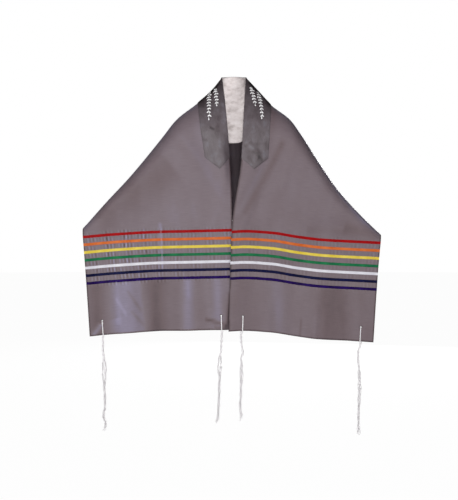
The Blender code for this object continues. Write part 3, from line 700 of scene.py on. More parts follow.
def ribbon_satin(name):
    """Clouds of two colours, then fine grain, darker selvedges, and a painted pale highlight where the
    tone is high.
    """
    deep, bright = RIBBON_COLOURS[name]
    finish, tree = new_finish("satin_ribbon_" + name, Roughness=0.40, Specular_IOR_Level=0.04)
    place = add_node(tree, "ShaderNodeUVMap", uv_map="flat").outputs["UV"]
    lean = add_node(tree, "ShaderNodeAttribute", attribute_name="tone").outputs["Fac"]
    floats = stretched_noise(tree, place, (2600.0, 40.0, 1.0))
    clouds = add_node(tree, "ShaderNodeValToRGB",
                      {"Fac": stretched_noise(tree, place, (30.0, 22.0, 1.0))},
                      stops=((0.32, deep), (0.68, bright)))
    grained = shaded_by(tree, clouds.outputs["Color"], floats, (0.3, "e2e2e2"), (0.7, "ffffff"))
    apart = add_node(tree, "ShaderNodeSeparateXYZ", {0: place})
    off_middle = add_node(tree, "ShaderNodeMath", {0: apart.outputs["X"], 1: RIBBON_WIDTH / 2},
                          operation="SUBTRACT")
    from_middle = add_node(tree, "ShaderNodeMath", {0: off_middle.outputs[0]}, operation="ABSOLUTE")
    selvedge = add_node(tree, "ShaderNodeMapRange", {
        "Value": from_middle.outputs[0], "From Min": RIBBON_WIDTH * SELVEDGE_START,
        "From Max": RIBBON_WIDTH * SELVEDGE_END})
    edged = add_node(tree, "ShaderNodeMix", {
        0: selvedge.outputs[0], 6: grained.outputs[2], 7: linear(deep, SELVEDGE_SHADE)},
        data_type="RGBA")
    # A painted highlight, mixed towards pale by the painted tone
    painted_highlight = add_node(tree, "ShaderNodeMapRange", {
        "Value": lean, "From Min": PAINTED_SHINE_START, "From Max": PAINTED_SHINE_END, "To Max": PAINTED_SHINE_SHARE})
    colour = add_node(tree, "ShaderNodeMix", {
        0: painted_highlight.outputs[0], 6: edged.outputs[2], 7: linear("f2f0f6")}, data_type="RGBA")
    relief = add_node(tree, "ShaderNodeBump", {"Height": floats, "Distance": 0.10 * MILLIMETRE})
    return completed(finish, colour.outputs[2], relief)


def charcoal_satin():
    """Patches and the painted light and shade of the tone, read by a dark ramp of painted shade at the
    neck and by a lighter one further down.
    """
    finish, tree = new_finish("charcoal_satin", Roughness=0.46, Specular_IOR_Level=0.25)
    place = add_node(tree, "ShaderNodeUVMap", uv_map="flat").outputs["UV"]
    lean = add_node(tree, "ShaderNodeAttribute", attribute_name="tone").outputs["Fac"]
    floats = stretched_noise(tree, place, (60.0, 2400.0, 1.0))
    patches = stretched_noise(tree, place, (30.0, 42.0, 1.0), detail=3.0, roughness=0.6)
    cloudy = add_node(tree, "ShaderNodeMath", {0: patches, 1: 0.5, 2: lean},
                      operation="MULTIPLY_ADD").outputs[0]
    # Painted shade round the neck: a darker ramp that runs down to near black
    painted_shade_at_neck = add_node(tree, "ShaderNodeValToRGB", {"Fac": cloudy},
                       stops=((0.20, "080707"), (0.65, "41393c"), (0.85, "5b5256"), (1.0, "716a6f")))
    at_ends = add_node(tree, "ShaderNodeValToRGB", {"Fac": cloudy},
                       stops=((0.30, "332e31"), (0.62, "61575b"), (0.78, "6e656a"), (1.0, "85838d")))
    apart = add_node(tree, "ShaderNodeSeparateXYZ", {0: place})
    from_nape = add_node(tree, "ShaderNodeMath", {0: apart.outputs["X"]}, operation="ABSOLUTE")
    lower = add_node(tree, "ShaderNodeMapRange", {
        "Value": from_nape.outputs[0], "From Min": LOWER_BAND_START, "From Max": LOWER_BAND_END})
    shaded = add_node(tree, "ShaderNodeMix", {
        0: lower.outputs[0], 6: painted_shade_at_neck.outputs["Color"], 7: at_ends.outputs["Color"]},
        data_type="RGBA")
    colour = shaded_by(tree, shaded.outputs[2], floats, (0.3, "dedede"), (0.7, "ffffff"))
    fine = add_node(tree, "ShaderNodeBump", {"Height": floats, "Distance": 0.08 * MILLIMETRE})
    relief = add_node(tree, "ShaderNodeBump", {"Height": patches, "Distance": 1.2 * MILLIMETRE,
                                               "Normal": fine.outputs["Normal"]})
    return completed(finish, colour.outputs[2], relief)


ribbon_finish = {name: ribbon_satin(name) for name in RIBBONS}
charcoal = charcoal_satin()
print("finishes", sorted(material.name for material in ribbon_finish.values()), charcoal.name)

# %% [markdown]
# ### Lining, threads and wool
# The lining is plain pale cotton, matt and slightly crumpled. Sewing thread is spun polyester
# with a faint shine. The corner tassels are two-ply white wool, which scatters light in its
# fuzz and so looks soft.

# %% Lining, threads and wool
DRAWN_COTTON_THREAD = 0.8 * MILLIMETRE
FIBRE_SHADE = 0.86


def pale_cotton():
    """Clouds of three pale greys with a plain weave, and the same clouds as soft crumples, with painted
    shade in their hollows.
    """
    finish, tree = new_finish("pale_cotton", Roughness=0.78, Specular_IOR_Level=0.2,
                              Sheen_Weight=0.08)
    place = add_node(tree, "ShaderNodeUVMap", uv_map="flat").outputs["UV"]
    cloudy = stretched_noise(tree, place, (26.0, 44.0, 1.0), detail=3.0, roughness=0.6)
    weave = add_node(tree, "ShaderNodeBump", {
        "Height": woven_threads(tree, place, DRAWN_COTTON_THREAD), "Distance": 0.06 * MILLIMETRE})
    relief = add_node(tree, "ShaderNodeBump", {"Height": cloudy, "Distance": 1.2 * MILLIMETRE,
                                               "Normal": weave.outputs["Normal"]})
    # The darker greys fall where the crumples sink, as painted shade in their hollows
    colour = add_node(tree, "ShaderNodeValToRGB", {"Fac": cloudy},
                      stops=((0.28, "b3a9a7"), (0.48, "d9d0cf"), (0.72, "ebe4e4")))
    return completed(finish, colour.outputs["Color"], relief)


def spun_thread(name, code, roughness=0.5):
    """Thread with fine fibres: noise on Object coordinates, finer than the thread is thick."""
    finish, tree = new_finish(name, Roughness=roughness, Specular_IOR_Level=0.15)
    place = add_node(tree, "ShaderNodeTexCoord").outputs["Object"]
    fibres = stretched_noise(tree, place, (1500.0, 1500.0, 500.0))
    colour = add_node(tree, "ShaderNodeMix", {0: fibres, 6: linear(code, FIBRE_SHADE), 7: linear(code)},
                      data_type="RGBA")
    relief = add_node(tree, "ShaderNodeBump", {"Height": fibres, "Distance": 0.15 * MILLIMETRE})
    return completed(finish, colour.outputs[2], relief)


cotton = pale_cotton()
wool = spun_thread("two_ply_wool", "fdfafc", 0.9)
embroidery_thread = spun_thread("white_rayon_thread", "fffeff", 0.42)
cloth_thread = spun_thread("mauve_sewing_thread", "665a5f")
band_thread = spun_thread("charcoal_sewing_thread", "4e4749")
cotton_thread = spun_thread("pale_sewing_thread", "c9bfbd")
ribbon_thread = {name: spun_thread(name + "_sewing_thread", RIBBON_COLOURS[name][0])
                 for name in RIBBONS}
print("threads", 5 + len(ribbon_thread))

# %% [markdown]
# ## From arrays to pieces
# A cloth piece is a closed shell: the same grid half a wall out and half a wall in, with a rim
# between. Edges that only one cell uses are the rim, also round an eyelet. The flat place of
# each point goes into the UV map.

# %% Grids, shells and tubes
SHARP_ANGLE = math.radians(55)


def grid_cells(rows, columns):
    """Corners of each cell of a grid, turning so that the cell faces along times across."""
    row, column = np.meshgrid(np.arange(rows - 1), np.arange(columns - 1), indexing="ij")
    first = (row * columns + column).ravel()
    return np.stack([first, first + columns, first + columns + 1, first + 1], axis=1)


def new_piece(name, points, faces, finish, flat=None):
    """An object at the origin from arrays of points and of faces with any number of corners."""
    mesh = bpy.data.meshes.new(name)
    corners = [face for group in faces for face in group.tolist()]
    mesh.from_pydata(points.reshape(-1, 3).tolist(), [], corners)
    if flat is not None:
        used = np.empty(len(mesh.loops), dtype=np.int32)
        mesh.loops.foreach_get("vertex_index", used)
        layer = mesh.uv_layers.new(name="flat")
        layer.data.foreach_set("uv", flat[used].astype(np.float32).ravel())
    mesh.materials.append(finish)
    mesh.shade_smooth()
    mesh.set_sharp_from_angle(angle=SHARP_ANGLE)
    piece = bpy.data.objects.new(name, mesh)
    bpy.context.scene.collection.objects.link(piece)
    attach(piece, "root")
    return piece


def shell(name, middle, normals, wall, flat, finish, kept=None, tone=None):
    """Two skins half a wall from the middle, and a rim of cells along every open edge."""
    rows, columns = middle.shape[:2]
    half = np.broadcast_to(np.asarray(wall, float) / 2, (rows, columns))[..., None]
    cells = grid_cells(rows, columns)
    if kept is not None:
        cells = cells[kept.ravel()]
    count = rows * columns
    edges = np.concatenate([cells[:, [turn, (turn + 1) % 4]] for turn in range(4)])
    ahead = edges[:, 0] * count + edges[:, 1]
    back = edges[:, 1] * count + edges[:, 0]
    rim = edges[~np.isin(ahead, back)]
    rim = np.stack([rim[:, 1], rim[:, 0], rim[:, 0] + count, rim[:, 1] + count], axis=1)
    inner = cells[:, ::-1] + count
    points = np.concatenate([(middle + normals * half).reshape(-1, 3),
                             (middle - normals * half).reshape(-1, 3)])
    places = np.concatenate([flat.reshape(-1, 2)] * 2)
    used, numbered = np.unique(np.concatenate([cells, inner, rim]), return_inverse=True)
    faces = numbered.reshape(-1, 4)
    piece = new_piece(name, points[used], [faces], finish, places[used])
    # The tone attribute carries painted light and shade for the finishes to read
    if tone is not None:
        values = np.concatenate([tone.ravel()] * 2)[used].astype(np.float32)
        piece.data.attributes.new("tone", "FLOAT", "POINT").data.foreach_set("value", values)
    return piece


def tubes(paths, radii, sides, level, oval=1.0, turns=0.0):
    """Rings round paths: across is tangent x level, and an oval section turns along the path."""
    count, length = paths.shape[:2]
    tangent = np.gradient(paths, axis=1)
    tangent /= np.linalg.norm(tangent, axis=-1, keepdims=True)
    across = np.cross(tangent, np.broadcast_to(np.asarray(level, float), tangent.shape))
    across /= np.linalg.norm(across, axis=-1, keepdims=True)
    upward = np.cross(across, tangent)
    around = 2 * math.pi * np.arange(sides) / sides
    spin = 2 * math.pi * np.linspace(0, 1, length) * turns
    radii = np.broadcast_to(radii, (count, length))[..., None]
    wide, high = np.cos(around) * radii, np.sin(around) * radii * oval
    cosine, sine = np.cos(spin)[None, :, None], np.sin(spin)[None, :, None]
    sideways = wide * cosine - high * sine
    rising = wide * sine + high * cosine
    rings = (paths[:, :, None] + across[:, :, None] * sideways[..., None]
             + upward[:, :, None] * rising[..., None])
    ring, side = np.meshgrid(np.arange(length - 1), np.arange(sides), indexing="ij")
    first, after = ring * sides + side, ring * sides + (side + 1) % sides
    walls = np.stack([first, first + sides, after + sides, after], axis=-1).reshape(-1, 4)
    shift = (np.arange(count) * length * sides)[:, None]
    walls = (walls[None] + shift[..., None]).reshape(-1, 4)
    near = np.arange(sides)[None] + shift
    far = np.arange(sides)[::-1][None] + shift + (length - 1) * sides
    return rings.reshape(-1, 3), [walls, near, far]


def gathered(parts):
    """Several sets of points and faces as one set, with the later faces counted on."""
    points, faces, start = [], [], 0
    for some_points, some_faces in parts:
        points.append(some_points)
        faces += [group + start for group in some_faces]
        start += len(some_points)
    return np.concatenate(points), faces


def stations(*runs):
    """Places along a line from runs of (start, end, spacing), each run ending as the next starts."""
    places = [np.linspace(low, high, max(1, round((high - low) / step)), endpoint=False)
              for low, high, step in runs]
    return np.concatenate(places + [[runs[-1][1]]])


# %% [markdown]
# ## The body
# The body is one rectangle with narrow hems and an eyelet near each corner. Its grid is finer
# where the ribbons pucker it and round the eyelets. Cells inside an eyelet are left out, and the
# points round them are moved on to its circle, so the hole is round.

# %% The body of the shawl
CLOTH_WALL = 0.0008
HEM_WIDTH = 0.007
HEM_EXTRA = 0.0006
HEM_STEP = 0.0012
HEM_EASE, PUCKER_EASE, EYELET_EASE = 0.001, 0.012, 0.007
BACK_END = 0.30
FINE_STEP, PUCKER_STEP, PLAIN_STEP, BACK_STEP, FRONT_STEP = 0.0020, 0.0050, 0.0085, 0.0110, 0.0101
STEP_ACROSS = 0.0030


def cloth_wall(along, across):
    """The wall's thickness: plain, then thicker on the hems, with a soft step between."""
    edge = rim_distance(along, across, HALF, WIDTH)
    return CLOTH_WALL + HEM_EXTRA * smooth((HEM_WIDTH + HEM_STEP / 2 - edge) / HEM_STEP)


hem_inside = HEM_WIDTH + HEM_EASE
eyelet_row = HALF - EYELET_INSET
half_along = stations((0, BACK_END, BACK_STEP), (BACK_END, RIBBON_TOP - PUCKER_EASE, FRONT_STEP),
                      (RIBBON_TOP - PUCKER_EASE, RIBBON_END + PUCKER_EASE, PUCKER_STEP),
                      (RIBBON_END + PUCKER_EASE, eyelet_row - EYELET_EASE, PLAIN_STEP),
                      (eyelet_row - EYELET_EASE, eyelet_row + EYELET_EASE, FINE_STEP),
                      (eyelet_row + EYELET_EASE, HALF - hem_inside, PLAIN_STEP),
                      (HALF - hem_inside, HALF, FINE_STEP))
cloth_along = np.concatenate([-half_along[:0:-1], half_along])
cloth_across = stations((0, hem_inside, FINE_STEP), (hem_inside, WIDTH - hem_inside, STEP_ACROSS),
                        (WIDTH - hem_inside, WIDTH, FINE_STEP))
along, across = (grid.copy() for grid in np.meshgrid(cloth_along, cloth_across, indexing="ij"))
EYELETS = {f"{side}_{name}": (sign * eyelet_row, inset) for side, sign in SIGN.items()
           for name, inset in (("inner", EYELET_INSET), ("outer", WIDTH - EYELET_INSET))}

middle_along = (along[1:, 1:] + along[:-1, :-1]) / 2
middle_across = (across[1:, 1:] + across[:-1, :-1]) / 2
kept = np.ones(middle_along.shape, dtype=bool)
for eyelet_along, eyelet_across in EYELETS.values():
    inside = np.hypot(middle_along - eyelet_along, middle_across - eyelet_across) < EYELET_RADIUS
    kept &= ~inside
    touched = np.zeros(along.shape, dtype=bool)
    rows, columns = np.nonzero(inside)
    for row_shift in (0, 1):
        for column_shift in (0, 1):
            touched[rows + row_shift, columns + column_shift] = True
    away_along, away_across = along - eyelet_along, across - eyelet_across
    away = np.maximum(np.hypot(away_along, away_across), 1e-6)
    along = np.where(touched, eyelet_along + away_along * EYELET_RADIUS / away, along)
    across = np.where(touched, eyelet_across + away_across * EYELET_RADIUS / away, across)

middle, normals = cloth_at(along, across)
cloth = shell("tallit_cloth_draped", middle, normals, cloth_wall(along, across),
              np.stack([along, across], axis=-1), taffeta, kept,
              painted_shading(along, across))
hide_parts("tallit_cloth")
print("body", len(cloth_along), "x", len(cloth_across), "points,", len(cloth.data.polygons) * 2,
      "triangles")

# %% [markdown]
# ## Stitches
# A seam is a row of short stitches on the surface. Each is a four-sided thread that rises from
# the cloth, runs, and dips back, so its ends are hidden and a row reads as sewing up close. The
# table gives a stitch's height and girth at four shares of its length, both in thread radii.

# %% Stitches
STITCH_LENGTH = 0.0026
STITCH_PITCH = 0.0034
THREAD_RADIUS = 0.00022
THREAD_PROUD = 0.0001
SEAM_SPACING = 0.004
HEM_SEAM = HEM_WIDTH - 0.001
# Share of the length, height, girth
STITCH = [(0.0, -1.2, 0.5), (0.18, 0.7, 1.0), (0.82, 0.7, 1.0), (1.0, -1.2, 0.5)]


def seam(name, lines, rise, finish):
    """Stitches along lines on the flat cloth; rise is how far off its middle the thread lies."""
    shares, heights, girths = np.array(STITCH).T
    parts = []
    for line in lines:
        line = np.asarray(line, float)
        reach = np.concatenate(([0], np.cumsum(np.hypot(*np.diff(line, axis=0).T))))
        count = int(reach[-1] / STITCH_PITCH)
        starts = (np.arange(count) + 0.5) * reach[-1] / count - STITCH_LENGTH / 2
        spots = starts[:, None] + STITCH_LENGTH * shares
        where_along = np.interp(spots, reach, line[:, 0])
        where_across = np.interp(spots, reach, line[:, 1])
        lifted = np.broadcast_to(rise + THREAD_RADIUS * heights, spots.shape)
        paths, up = cloth_at(where_along, where_across, lifted)
        parts.append(tubes(paths, THREAD_RADIUS * girths, 4, up.mean(axis=1, keepdims=True)))
    points, faces = gathered(parts)
    return new_piece(name, points, faces, finish)


def line_between(start, end):
    """Evenly spaced places on a straight line of the flat cloth."""
    start, end = np.asarray(start, float), np.asarray(end, float)
    count = max(2, int(np.linalg.norm(end - start) / SEAM_SPACING))
    return start + (end - start) * np.linspace(0, 1, count)[:, None]


corner, far_side = HALF - HEM_SEAM, WIDTH - HEM_SEAM
hem_lines = [line_between((-corner, place), (corner, place)) for place in (HEM_SEAM, far_side)]
hem_lines += [line_between((place, HEM_SEAM), (place, far_side)) for place in (-corner, corner)]
hem_rise = (CLOTH_WALL + HEM_EXTRA) / 2
hem_stitches = seam("hem_stitches", hem_lines, hem_rise, cloth_thread)
print("hem stitches", len(hem_stitches.data.vertices) // 16)

# %% [markdown]
# ## Ribbons
# Seven satin ribbons in rainbow order cross each front. Each lies on the puckered cloth, a hair
# off its face, and is sewn along both selvedges, so its grid is read from the same surface.

# %% Ribbons
RIBBON_WALL = 0.0005
RIBBON_CROWN = 0.00012
RIBBON_SEAM = 0.0012
RIBBON_SEAM_START = 0.004
RIBBON_ROWS = np.array([0.0, 0.0006, 0.0016, 0.0034, 0.0066, 0.0084, 0.0094, 0.0100])
AIR = 0.0002
ribbon_rise = CLOTH_WALL / 2 + AIR + RIBBON_WALL + THREAD_PROUD
seam_ends = (RIBBON_SEAM_START, WIDTH - RIBBON_SEAM_START)

for side, sign in SIGN.items():
    for order, colour in enumerate(RIBBONS):
        upper = RIBBON_TOP + order * RIBBON_PITCH
        rows = np.sort(sign * (upper + RIBBON_ROWS))
        along, across = np.meshgrid(rows, cloth_across, indexing="ij")
        from_side = np.abs(along) - upper
        from_selvedge = np.minimum(from_side, RIBBON_WIDTH - from_side)
        crown = RIBBON_CROWN * smooth(from_selvedge / RIBBON_SEAM)
        off = cloth_wall(along, across) / 2 + AIR + RIBBON_WALL / 2 + crown
        middle, normals = cloth_at(along, across, off)
        flat = np.stack([from_side, across], axis=-1)
        label = f"{side}_{order + 1}_{colour}"
        ribbon = shell("ribbon_satin_" + label, middle, normals, RIBBON_WALL, flat,
                       ribbon_finish[colour], tone=painted_shading(along, across))
        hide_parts("ribbon_" + label)
        lines = []
        for edge in (RIBBON_SEAM, RIBBON_WIDTH - RIBBON_SEAM):
            lines.append(line_between(*[(sign * (upper + edge), end) for end in seam_ends]))
        stitches = seam("stitches_" + label, lines, ribbon_rise, ribbon_thread[colour])
print("ribbons", 2 * len(RIBBONS))

# %% [markdown]
# ## The neckband
# The atarah is a satin strip with a stiff interlining. It runs from one pointed end round the
# neck to the other. Its rows are stretched so that the last one follows the point. The edges are
# turned under, so the band is thicker in its middle and rounds down at its rim, with a seam
# 2.5 mm in. The ends are a little buckled, as the interlining creases where it is handled.

# %% The neckband
BAND_WALL = 0.0008
BAND_SEAM = 0.0025
BAND_LOFT, BAND_LOFT_START, BAND_LOFT_RUN = 0.0009, 0.0004, 0.0030
BAND_SEAM_HEIGHT = BAND_LOFT * 0.72
GROOVE_DEPTH, GROOVE_WIDTH = 0.0003, 0.0007
BUCKLE_EASE, BUCKLE_DIP = 0.012, 0.0006
# The fine rows along every rim end here, and even ones fill the middle
BAND_RIM = 0.0075
BAND_RIM_ROWS = np.array([0.0, 0.0005, 0.0012, 0.0020, 0.0025, 0.0031, 0.0045])
BAND_ROWS_ACROSS, BAND_ROWS_ALONG = 29, 118
BUCKLES = [
    (0.335, 0.012, 0.395, 0.060, 0.009, 0.0016), (0.350, 0.050, 0.415, 0.040, 0.007, -0.0013),
    (0.372, 0.020, 0.400, 0.088, 0.008, 0.0013), (0.395, 0.060, 0.420, 0.050, 0.006, 0.0010),
    (0.250, 0.030, 0.300, 0.075, 0.010, 0.0010), (0.180, 0.070, 0.240, 0.020, 0.011, -0.0010),
    (0.120, 0.020, 0.160, 0.080, 0.012, 0.0009), (0.300, 0.085, 0.385, 0.080, 0.007, 0.0009),
    (-0.260, 0.040, -0.330, 0.085, 0.011, 0.0009), (-0.360, 0.020, -0.405, 0.070, 0.010, 0.0010),
    (-0.205, 0.090, -0.260, 0.030, 0.009, -0.0012), (-0.120, 0.030, -0.160, 0.080, 0.010, 0.0008),
    (-0.020, 0.020, 0.030, 0.080, 0.014, 0.0008),
]


# %% Painted light and shade of the neckband
# Patches of painted highlight and shade on the satin, listed one by one
BAND_PAINTED_LIGHT_AND_SHADE = {
    "left": [
        (0.298, 0.068, 0.304, 0.056, 0.005, -0.75), (0.250, 0.030, 0.330, 0.045, 0.012, -0.22),
        (0.350, 0.030, 0.400, 0.070, 0.012, 0.14), (0.340, 0.080, 0.342, 0.094, 0.004, -0.40),
        (0.120, 0.070, 0.200, 0.085, 0.012, -0.30), (0.200, 0.010, 0.280, 0.014, 0.008, 0.16),
    ],
    "right": [
        (0.348, 0.010, 0.375, 0.040, 0.008, 0.30), (0.365, 0.008, 0.350, 0.030, 0.005, -0.40),
        (0.380, 0.035, 0.412, 0.075, 0.006, -0.32), (0.400, 0.018, 0.428, 0.045, 0.006, -0.30),
        (0.360, 0.060, 0.398, 0.084, 0.010, 0.26), (0.390, 0.052, 0.430, 0.044, 0.009, 0.30),
        (0.345, 0.084, 0.368, 0.094, 0.007, -0.30), (0.385, 0.060, 0.410, 0.066, 0.012, -0.16),
        (0.180, 0.060, 0.260, 0.050, 0.012, -0.16),
        (0.130, 0.080, 0.180, 0.090, 0.010, -0.30), (0.350, 0.050, 0.400, 0.050, 0.040, -0.16),
    ],
}
BAND_FOLD_PAINTED_SHADE, BAND_FOLD_SHIFT, BAND_FOLD_WIDTH = -2.0, 0.006, 0.015
BAND_FOLD_EASE = 0.03


def band_tone(along, across):
    """Half, plus listed patches of painted highlight and shade, less a painted dark line where the band
    turns over.
    """
    distance = np.abs(along)
    total = np.zeros_like(across)
    for side in SIGN:
        placed = creases(distance, across, BAND_PAINTED_LIGHT_AND_SHADE[side], TONE_FADE_IN)
        from_fold = (distance - fold_at(side, across) - BAND_FOLD_SHIFT) / BAND_FOLD_WIDTH
        # A painted dark line of shade where the band turns over the fold
        painted_fold_shade = BAND_FOLD_PAINTED_SHADE * np.exp(-(from_fold ** 2)) * smooth(across / BAND_FOLD_EASE)
        total = np.where(on_side(side, along), placed + painted_fold_shade, total)
    return np.clip(0.5 + total / 2, 0, 1)


# %% The neckband's surface


def band_end(across):
    """How far along the band reaches at each distance across: a straight-sided point."""
    return BAND_TIP - np.abs(across - BAND_WIDTH / 2) * (BAND_TIP - BAND_CORNER) * 2 / BAND_WIDTH


band_across = np.concatenate([BAND_RIM_ROWS,
                              np.linspace(BAND_RIM, BAND_WIDTH - BAND_RIM, BAND_ROWS_ACROSS),
                              BAND_WIDTH - BAND_RIM_ROWS[::-1]])
band_share = np.concatenate([np.linspace(0, 1 - BAND_RIM / BAND_TIP, BAND_ROWS_ALONG),
                             1 - BAND_RIM_ROWS[::-1] / BAND_TIP])
band_share = np.concatenate([-band_share[:0:-1], band_share])
share, across = np.meshgrid(band_share, band_across, indexing="ij")
along = share * band_end(across)
point_slope = math.hypot(1, (BAND_TIP - BAND_CORNER) * 2 / BAND_WIDTH)
from_rim = np.minimum(np.minimum(across, BAND_WIDTH - across),
                      (band_end(across) - np.abs(along)) / point_slope)
groove = np.exp(-(((from_rim - BAND_SEAM) / GROOVE_WIDTH) ** 2))
loft = BAND_LOFT * smooth((from_rim + BAND_LOFT_START) / BAND_LOFT_RUN) - GROOVE_DEPTH * groove
buckled = creases(along, across, BUCKLES, CREASE_FADE_IN) * smooth(from_rim / BUCKLE_EASE)
off = cloth_wall(along, across) / 2 + AIR + BAND_WALL / 2 + loft + np.maximum(buckled, -BUCKLE_DIP)
middle, normals = cloth_at(along, across, off)
band = shell("atarah_satin", middle, normals, BAND_WALL, np.stack([along, across], axis=-1),
             charcoal, tone=band_tone(along, across))
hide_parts("atarah")
inner, outer = BAND_SEAM, BAND_WIDTH - BAND_SEAM
tip = BAND_TIP - BAND_SEAM * point_slope
shoulder = float(band_end(np.array([inner]))[0]) - BAND_SEAM * point_slope
band_lines = []
for end in (-1, 1):
    band_lines += [line_between((end * shoulder, inner), (end * tip, BAND_WIDTH / 2)),
                   line_between((end * shoulder, outer), (end * tip, BAND_WIDTH / 2))]
band_lines += [line_between((-shoulder, place), (shoulder, place)) for place in (inner, outer)]
band_rise = CLOTH_WALL / 2 + AIR + BAND_WALL + BAND_SEAM_HEIGHT
band_stitches = seam("atarah_stitches", band_lines, band_rise, band_thread)
print("neckband", band.data.name, "stitches", len(band_stitches.data.vertices) // 16)

# %% [markdown]
# ## The ornament
# White embroidery stands on the band below each shoulder, in two rows. Here it is a plain vine:
# a stem with pairs of leaves and a small flower at its top. A leaf is a raised satin
# stitch, so its section is a low oval that swells and closes along its length.

# %% The ornament
VINE_ROWS = {
    "left": [((0.126, 0.030), (0.170, 0.0315), (0.209, 0.032)),
             ((0.119, 0.053), (0.195, 0.0605), (0.268, 0.0645))],
    "right": [((0.120, 0.020), (0.162, 0.030), (0.205, 0.0385)),
              ((0.134, 0.0455), (0.200, 0.0595), (0.260, 0.0665))],
}
VINE_WAVE = 0.034
VINE_SWING = 0.0016
STEM_RADIUS = 0.0007
LEAF_SPACING = 0.0155
LEAF_LENGTH = 0.0118
LEAF_HALF_WIDTH = 0.0032
LEAF_ROWS, STEM_ROWS = 9, 160
LEAF_CLOSES = (0.03, 0.98)
LEAF_LEAN = 0.75
LEAF_SHRINK = 0.25
LAST_LEAF = 0.7
FLAT_STITCH, ROUND_STITCH = 0.42, 0.7
ABOVE_BAND = 0.0002
LEAF_SWELL = 0.0004
PETALS = 5
PETAL_LENGTH = 0.0048
PETAL_HALF_WIDTH = 0.0017
BUD_RADIUS = 0.0012
ornament_rise = CLOTH_WALL / 2 + AIR + BAND_WALL + BAND_LOFT


def on_band(line, lift):
    """Points of the band's outer face at signed distances along and across, lifted."""
    return cloth_at(line[..., 0], line[..., 1], ornament_rise + lift)


def leaf(root, way, length, half_width):
    """A raised oval: its half width is the root of a sine along its length, so both ends close."""
    share = np.linspace(0, 1, LEAF_ROWS)
    full = np.sqrt(np.sin(math.pi * np.clip(share, *LEAF_CLOSES)))
    places, up = on_band(root + (share * length)[:, None] * way, ABOVE_BAND + LEAF_SWELL * full)
    return tubes(places[None], half_width * full, 8, up[None], oval=FLAT_STITCH)


def vine(sign, marks):
    """A stem that swings as a sine about a curve through the marks, with leaves in pairs."""
    marks = np.asarray(marks)
    reach = np.linspace(0, 1, len(marks))
    fine = np.linspace(0, 1, STEM_ROWS)
    bend = np.polyfit(reach, marks[:, 1], 2)
    spine = np.stack([np.interp(fine, reach, marks[:, 0]), np.polyval(bend, fine)], axis=1)
    length = np.cumsum(np.concatenate(([0], np.hypot(*np.diff(spine, axis=0).T))))
    heading = np.gradient(spine, axis=0)
    heading /= np.linalg.norm(heading, axis=1, keepdims=True)
    aside = np.stack([-heading[:, 1], heading[:, 0]], axis=1)
    stem = spine + aside * (VINE_SWING * np.sin(2 * math.pi * length / VINE_WAVE))[:, None]
    to_side = np.array([sign, 1.0])
    points, up = on_band(stem * to_side, ABOVE_BAND)
    parts = [tubes(points[None], STEM_RADIUS, 6, up[None], oval=ROUND_STITCH)]
    leaves = np.arange(PETAL_LENGTH * 1.5, length[-1] - LEAF_LENGTH * 0.5, LEAF_SPACING)
    for place in leaves:
        root = np.array([np.interp(place, length, stem[:, axis]) for axis in (0, 1)])
        ahead = np.array([np.interp(place, length, heading[:, axis]) for axis in (0, 1)])
        size = 1.0 - LEAF_SHRINK * place / length[-1]
        for lean in (LEAF_LEAN, -LEAF_LEAN):
            beside = np.array([-ahead[1], ahead[0]]) * math.sin(lean)
            way = ahead * math.cos(lean) + beside
            parts.append(leaf(root * to_side, way * to_side, LEAF_LENGTH * size,
                              LEAF_HALF_WIDTH * size))
    parts.append(leaf(stem[-6] * to_side, heading[-1] * to_side, LEAF_LENGTH * LAST_LEAF,
                      LEAF_HALF_WIDTH * LAST_LEAF))
    for turn in 2 * math.pi * (np.arange(PETALS) + 0.25) / PETALS:
        way = np.array([math.cos(turn), math.sin(turn)])
        parts.append(leaf(stem[0] * to_side + way * BUD_RADIUS, way, PETAL_LENGTH, PETAL_HALF_WIDTH))
    run = np.linspace(-1, 1, 6)
    round_section = np.sqrt(np.maximum(1 - run ** 2, 0.02))
    across_bud = run[:, None] * BUD_RADIUS * np.array([1.0, 0.0])
    places, up = on_band(stem[0] * to_side + across_bud, 2 * ABOVE_BAND)
    parts.append(tubes(places[None], BUD_RADIUS * round_section, 8, up[None], oval=ROUND_STITCH))
    return parts


for side, sign in SIGN.items():
    parts = [part for marks in VINE_ROWS[side] for part in vine(sign, marks)]
    points, faces = gathered(parts)
    new_piece("vine_embroidery_" + side, points, faces, embroidery_thread)

# %% [markdown]
# ## The neck lining
# A pale patch backs the cloth inside the back of the neck, where it would rub. It is plain
# cotton with its edges turned in, and it hangs a little wrinkled between its seams.

# %% The neck lining
LINING_WALL = 0.0006
LINING_STEP = 0.0042
LINING_SLACK, LINING_EASE = 0.0012, 0.02
LINING_SEAM = 0.003
WRINKLE_FADE_IN = 0.15
WRINKLES = [
    (-0.100, 0.030, 0.110, 0.050, 0.008, 0.0014), (-0.070, 0.085, 0.090, 0.070, 0.007, -0.0012),
    (-0.110, 0.120, 0.060, 0.135, 0.009, 0.0012), (-0.040, 0.165, 0.110, 0.155, 0.008, 0.0012),
    (-0.090, 0.195, 0.020, 0.205, 0.008, -0.0012), (-0.020, 0.040, 0.010, 0.200, 0.012, 0.0010),
]
along, across = np.meshgrid(stations((-LINING_HALF, LINING_HALF, LINING_STEP)),
                            stations((0.0, LINING_DEPTH, LINING_STEP)), indexing="ij")
eased = smooth(rim_distance(along, across, LINING_HALF, LINING_DEPTH) / LINING_EASE)
wrinkled = creases(along, across, WRINKLES, WRINKLE_FADE_IN) * eased
sunk = cloth_wall(along, across) / 2 + AIR + LINING_WALL / 2 + LINING_SLACK * eased + wrinkled
closest = (CLOTH_WALL + LINING_WALL) / 2 + AIR
middle, normals = cloth_at(along, across, -np.maximum(sunk, closest))
lining = shell("neck_lining_cotton", middle, normals, LINING_WALL,
               np.stack([along, across], axis=-1), cotton)
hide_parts("neck_lining")
side_line, low_line = LINING_HALF - LINING_SEAM, LINING_DEPTH - LINING_SEAM
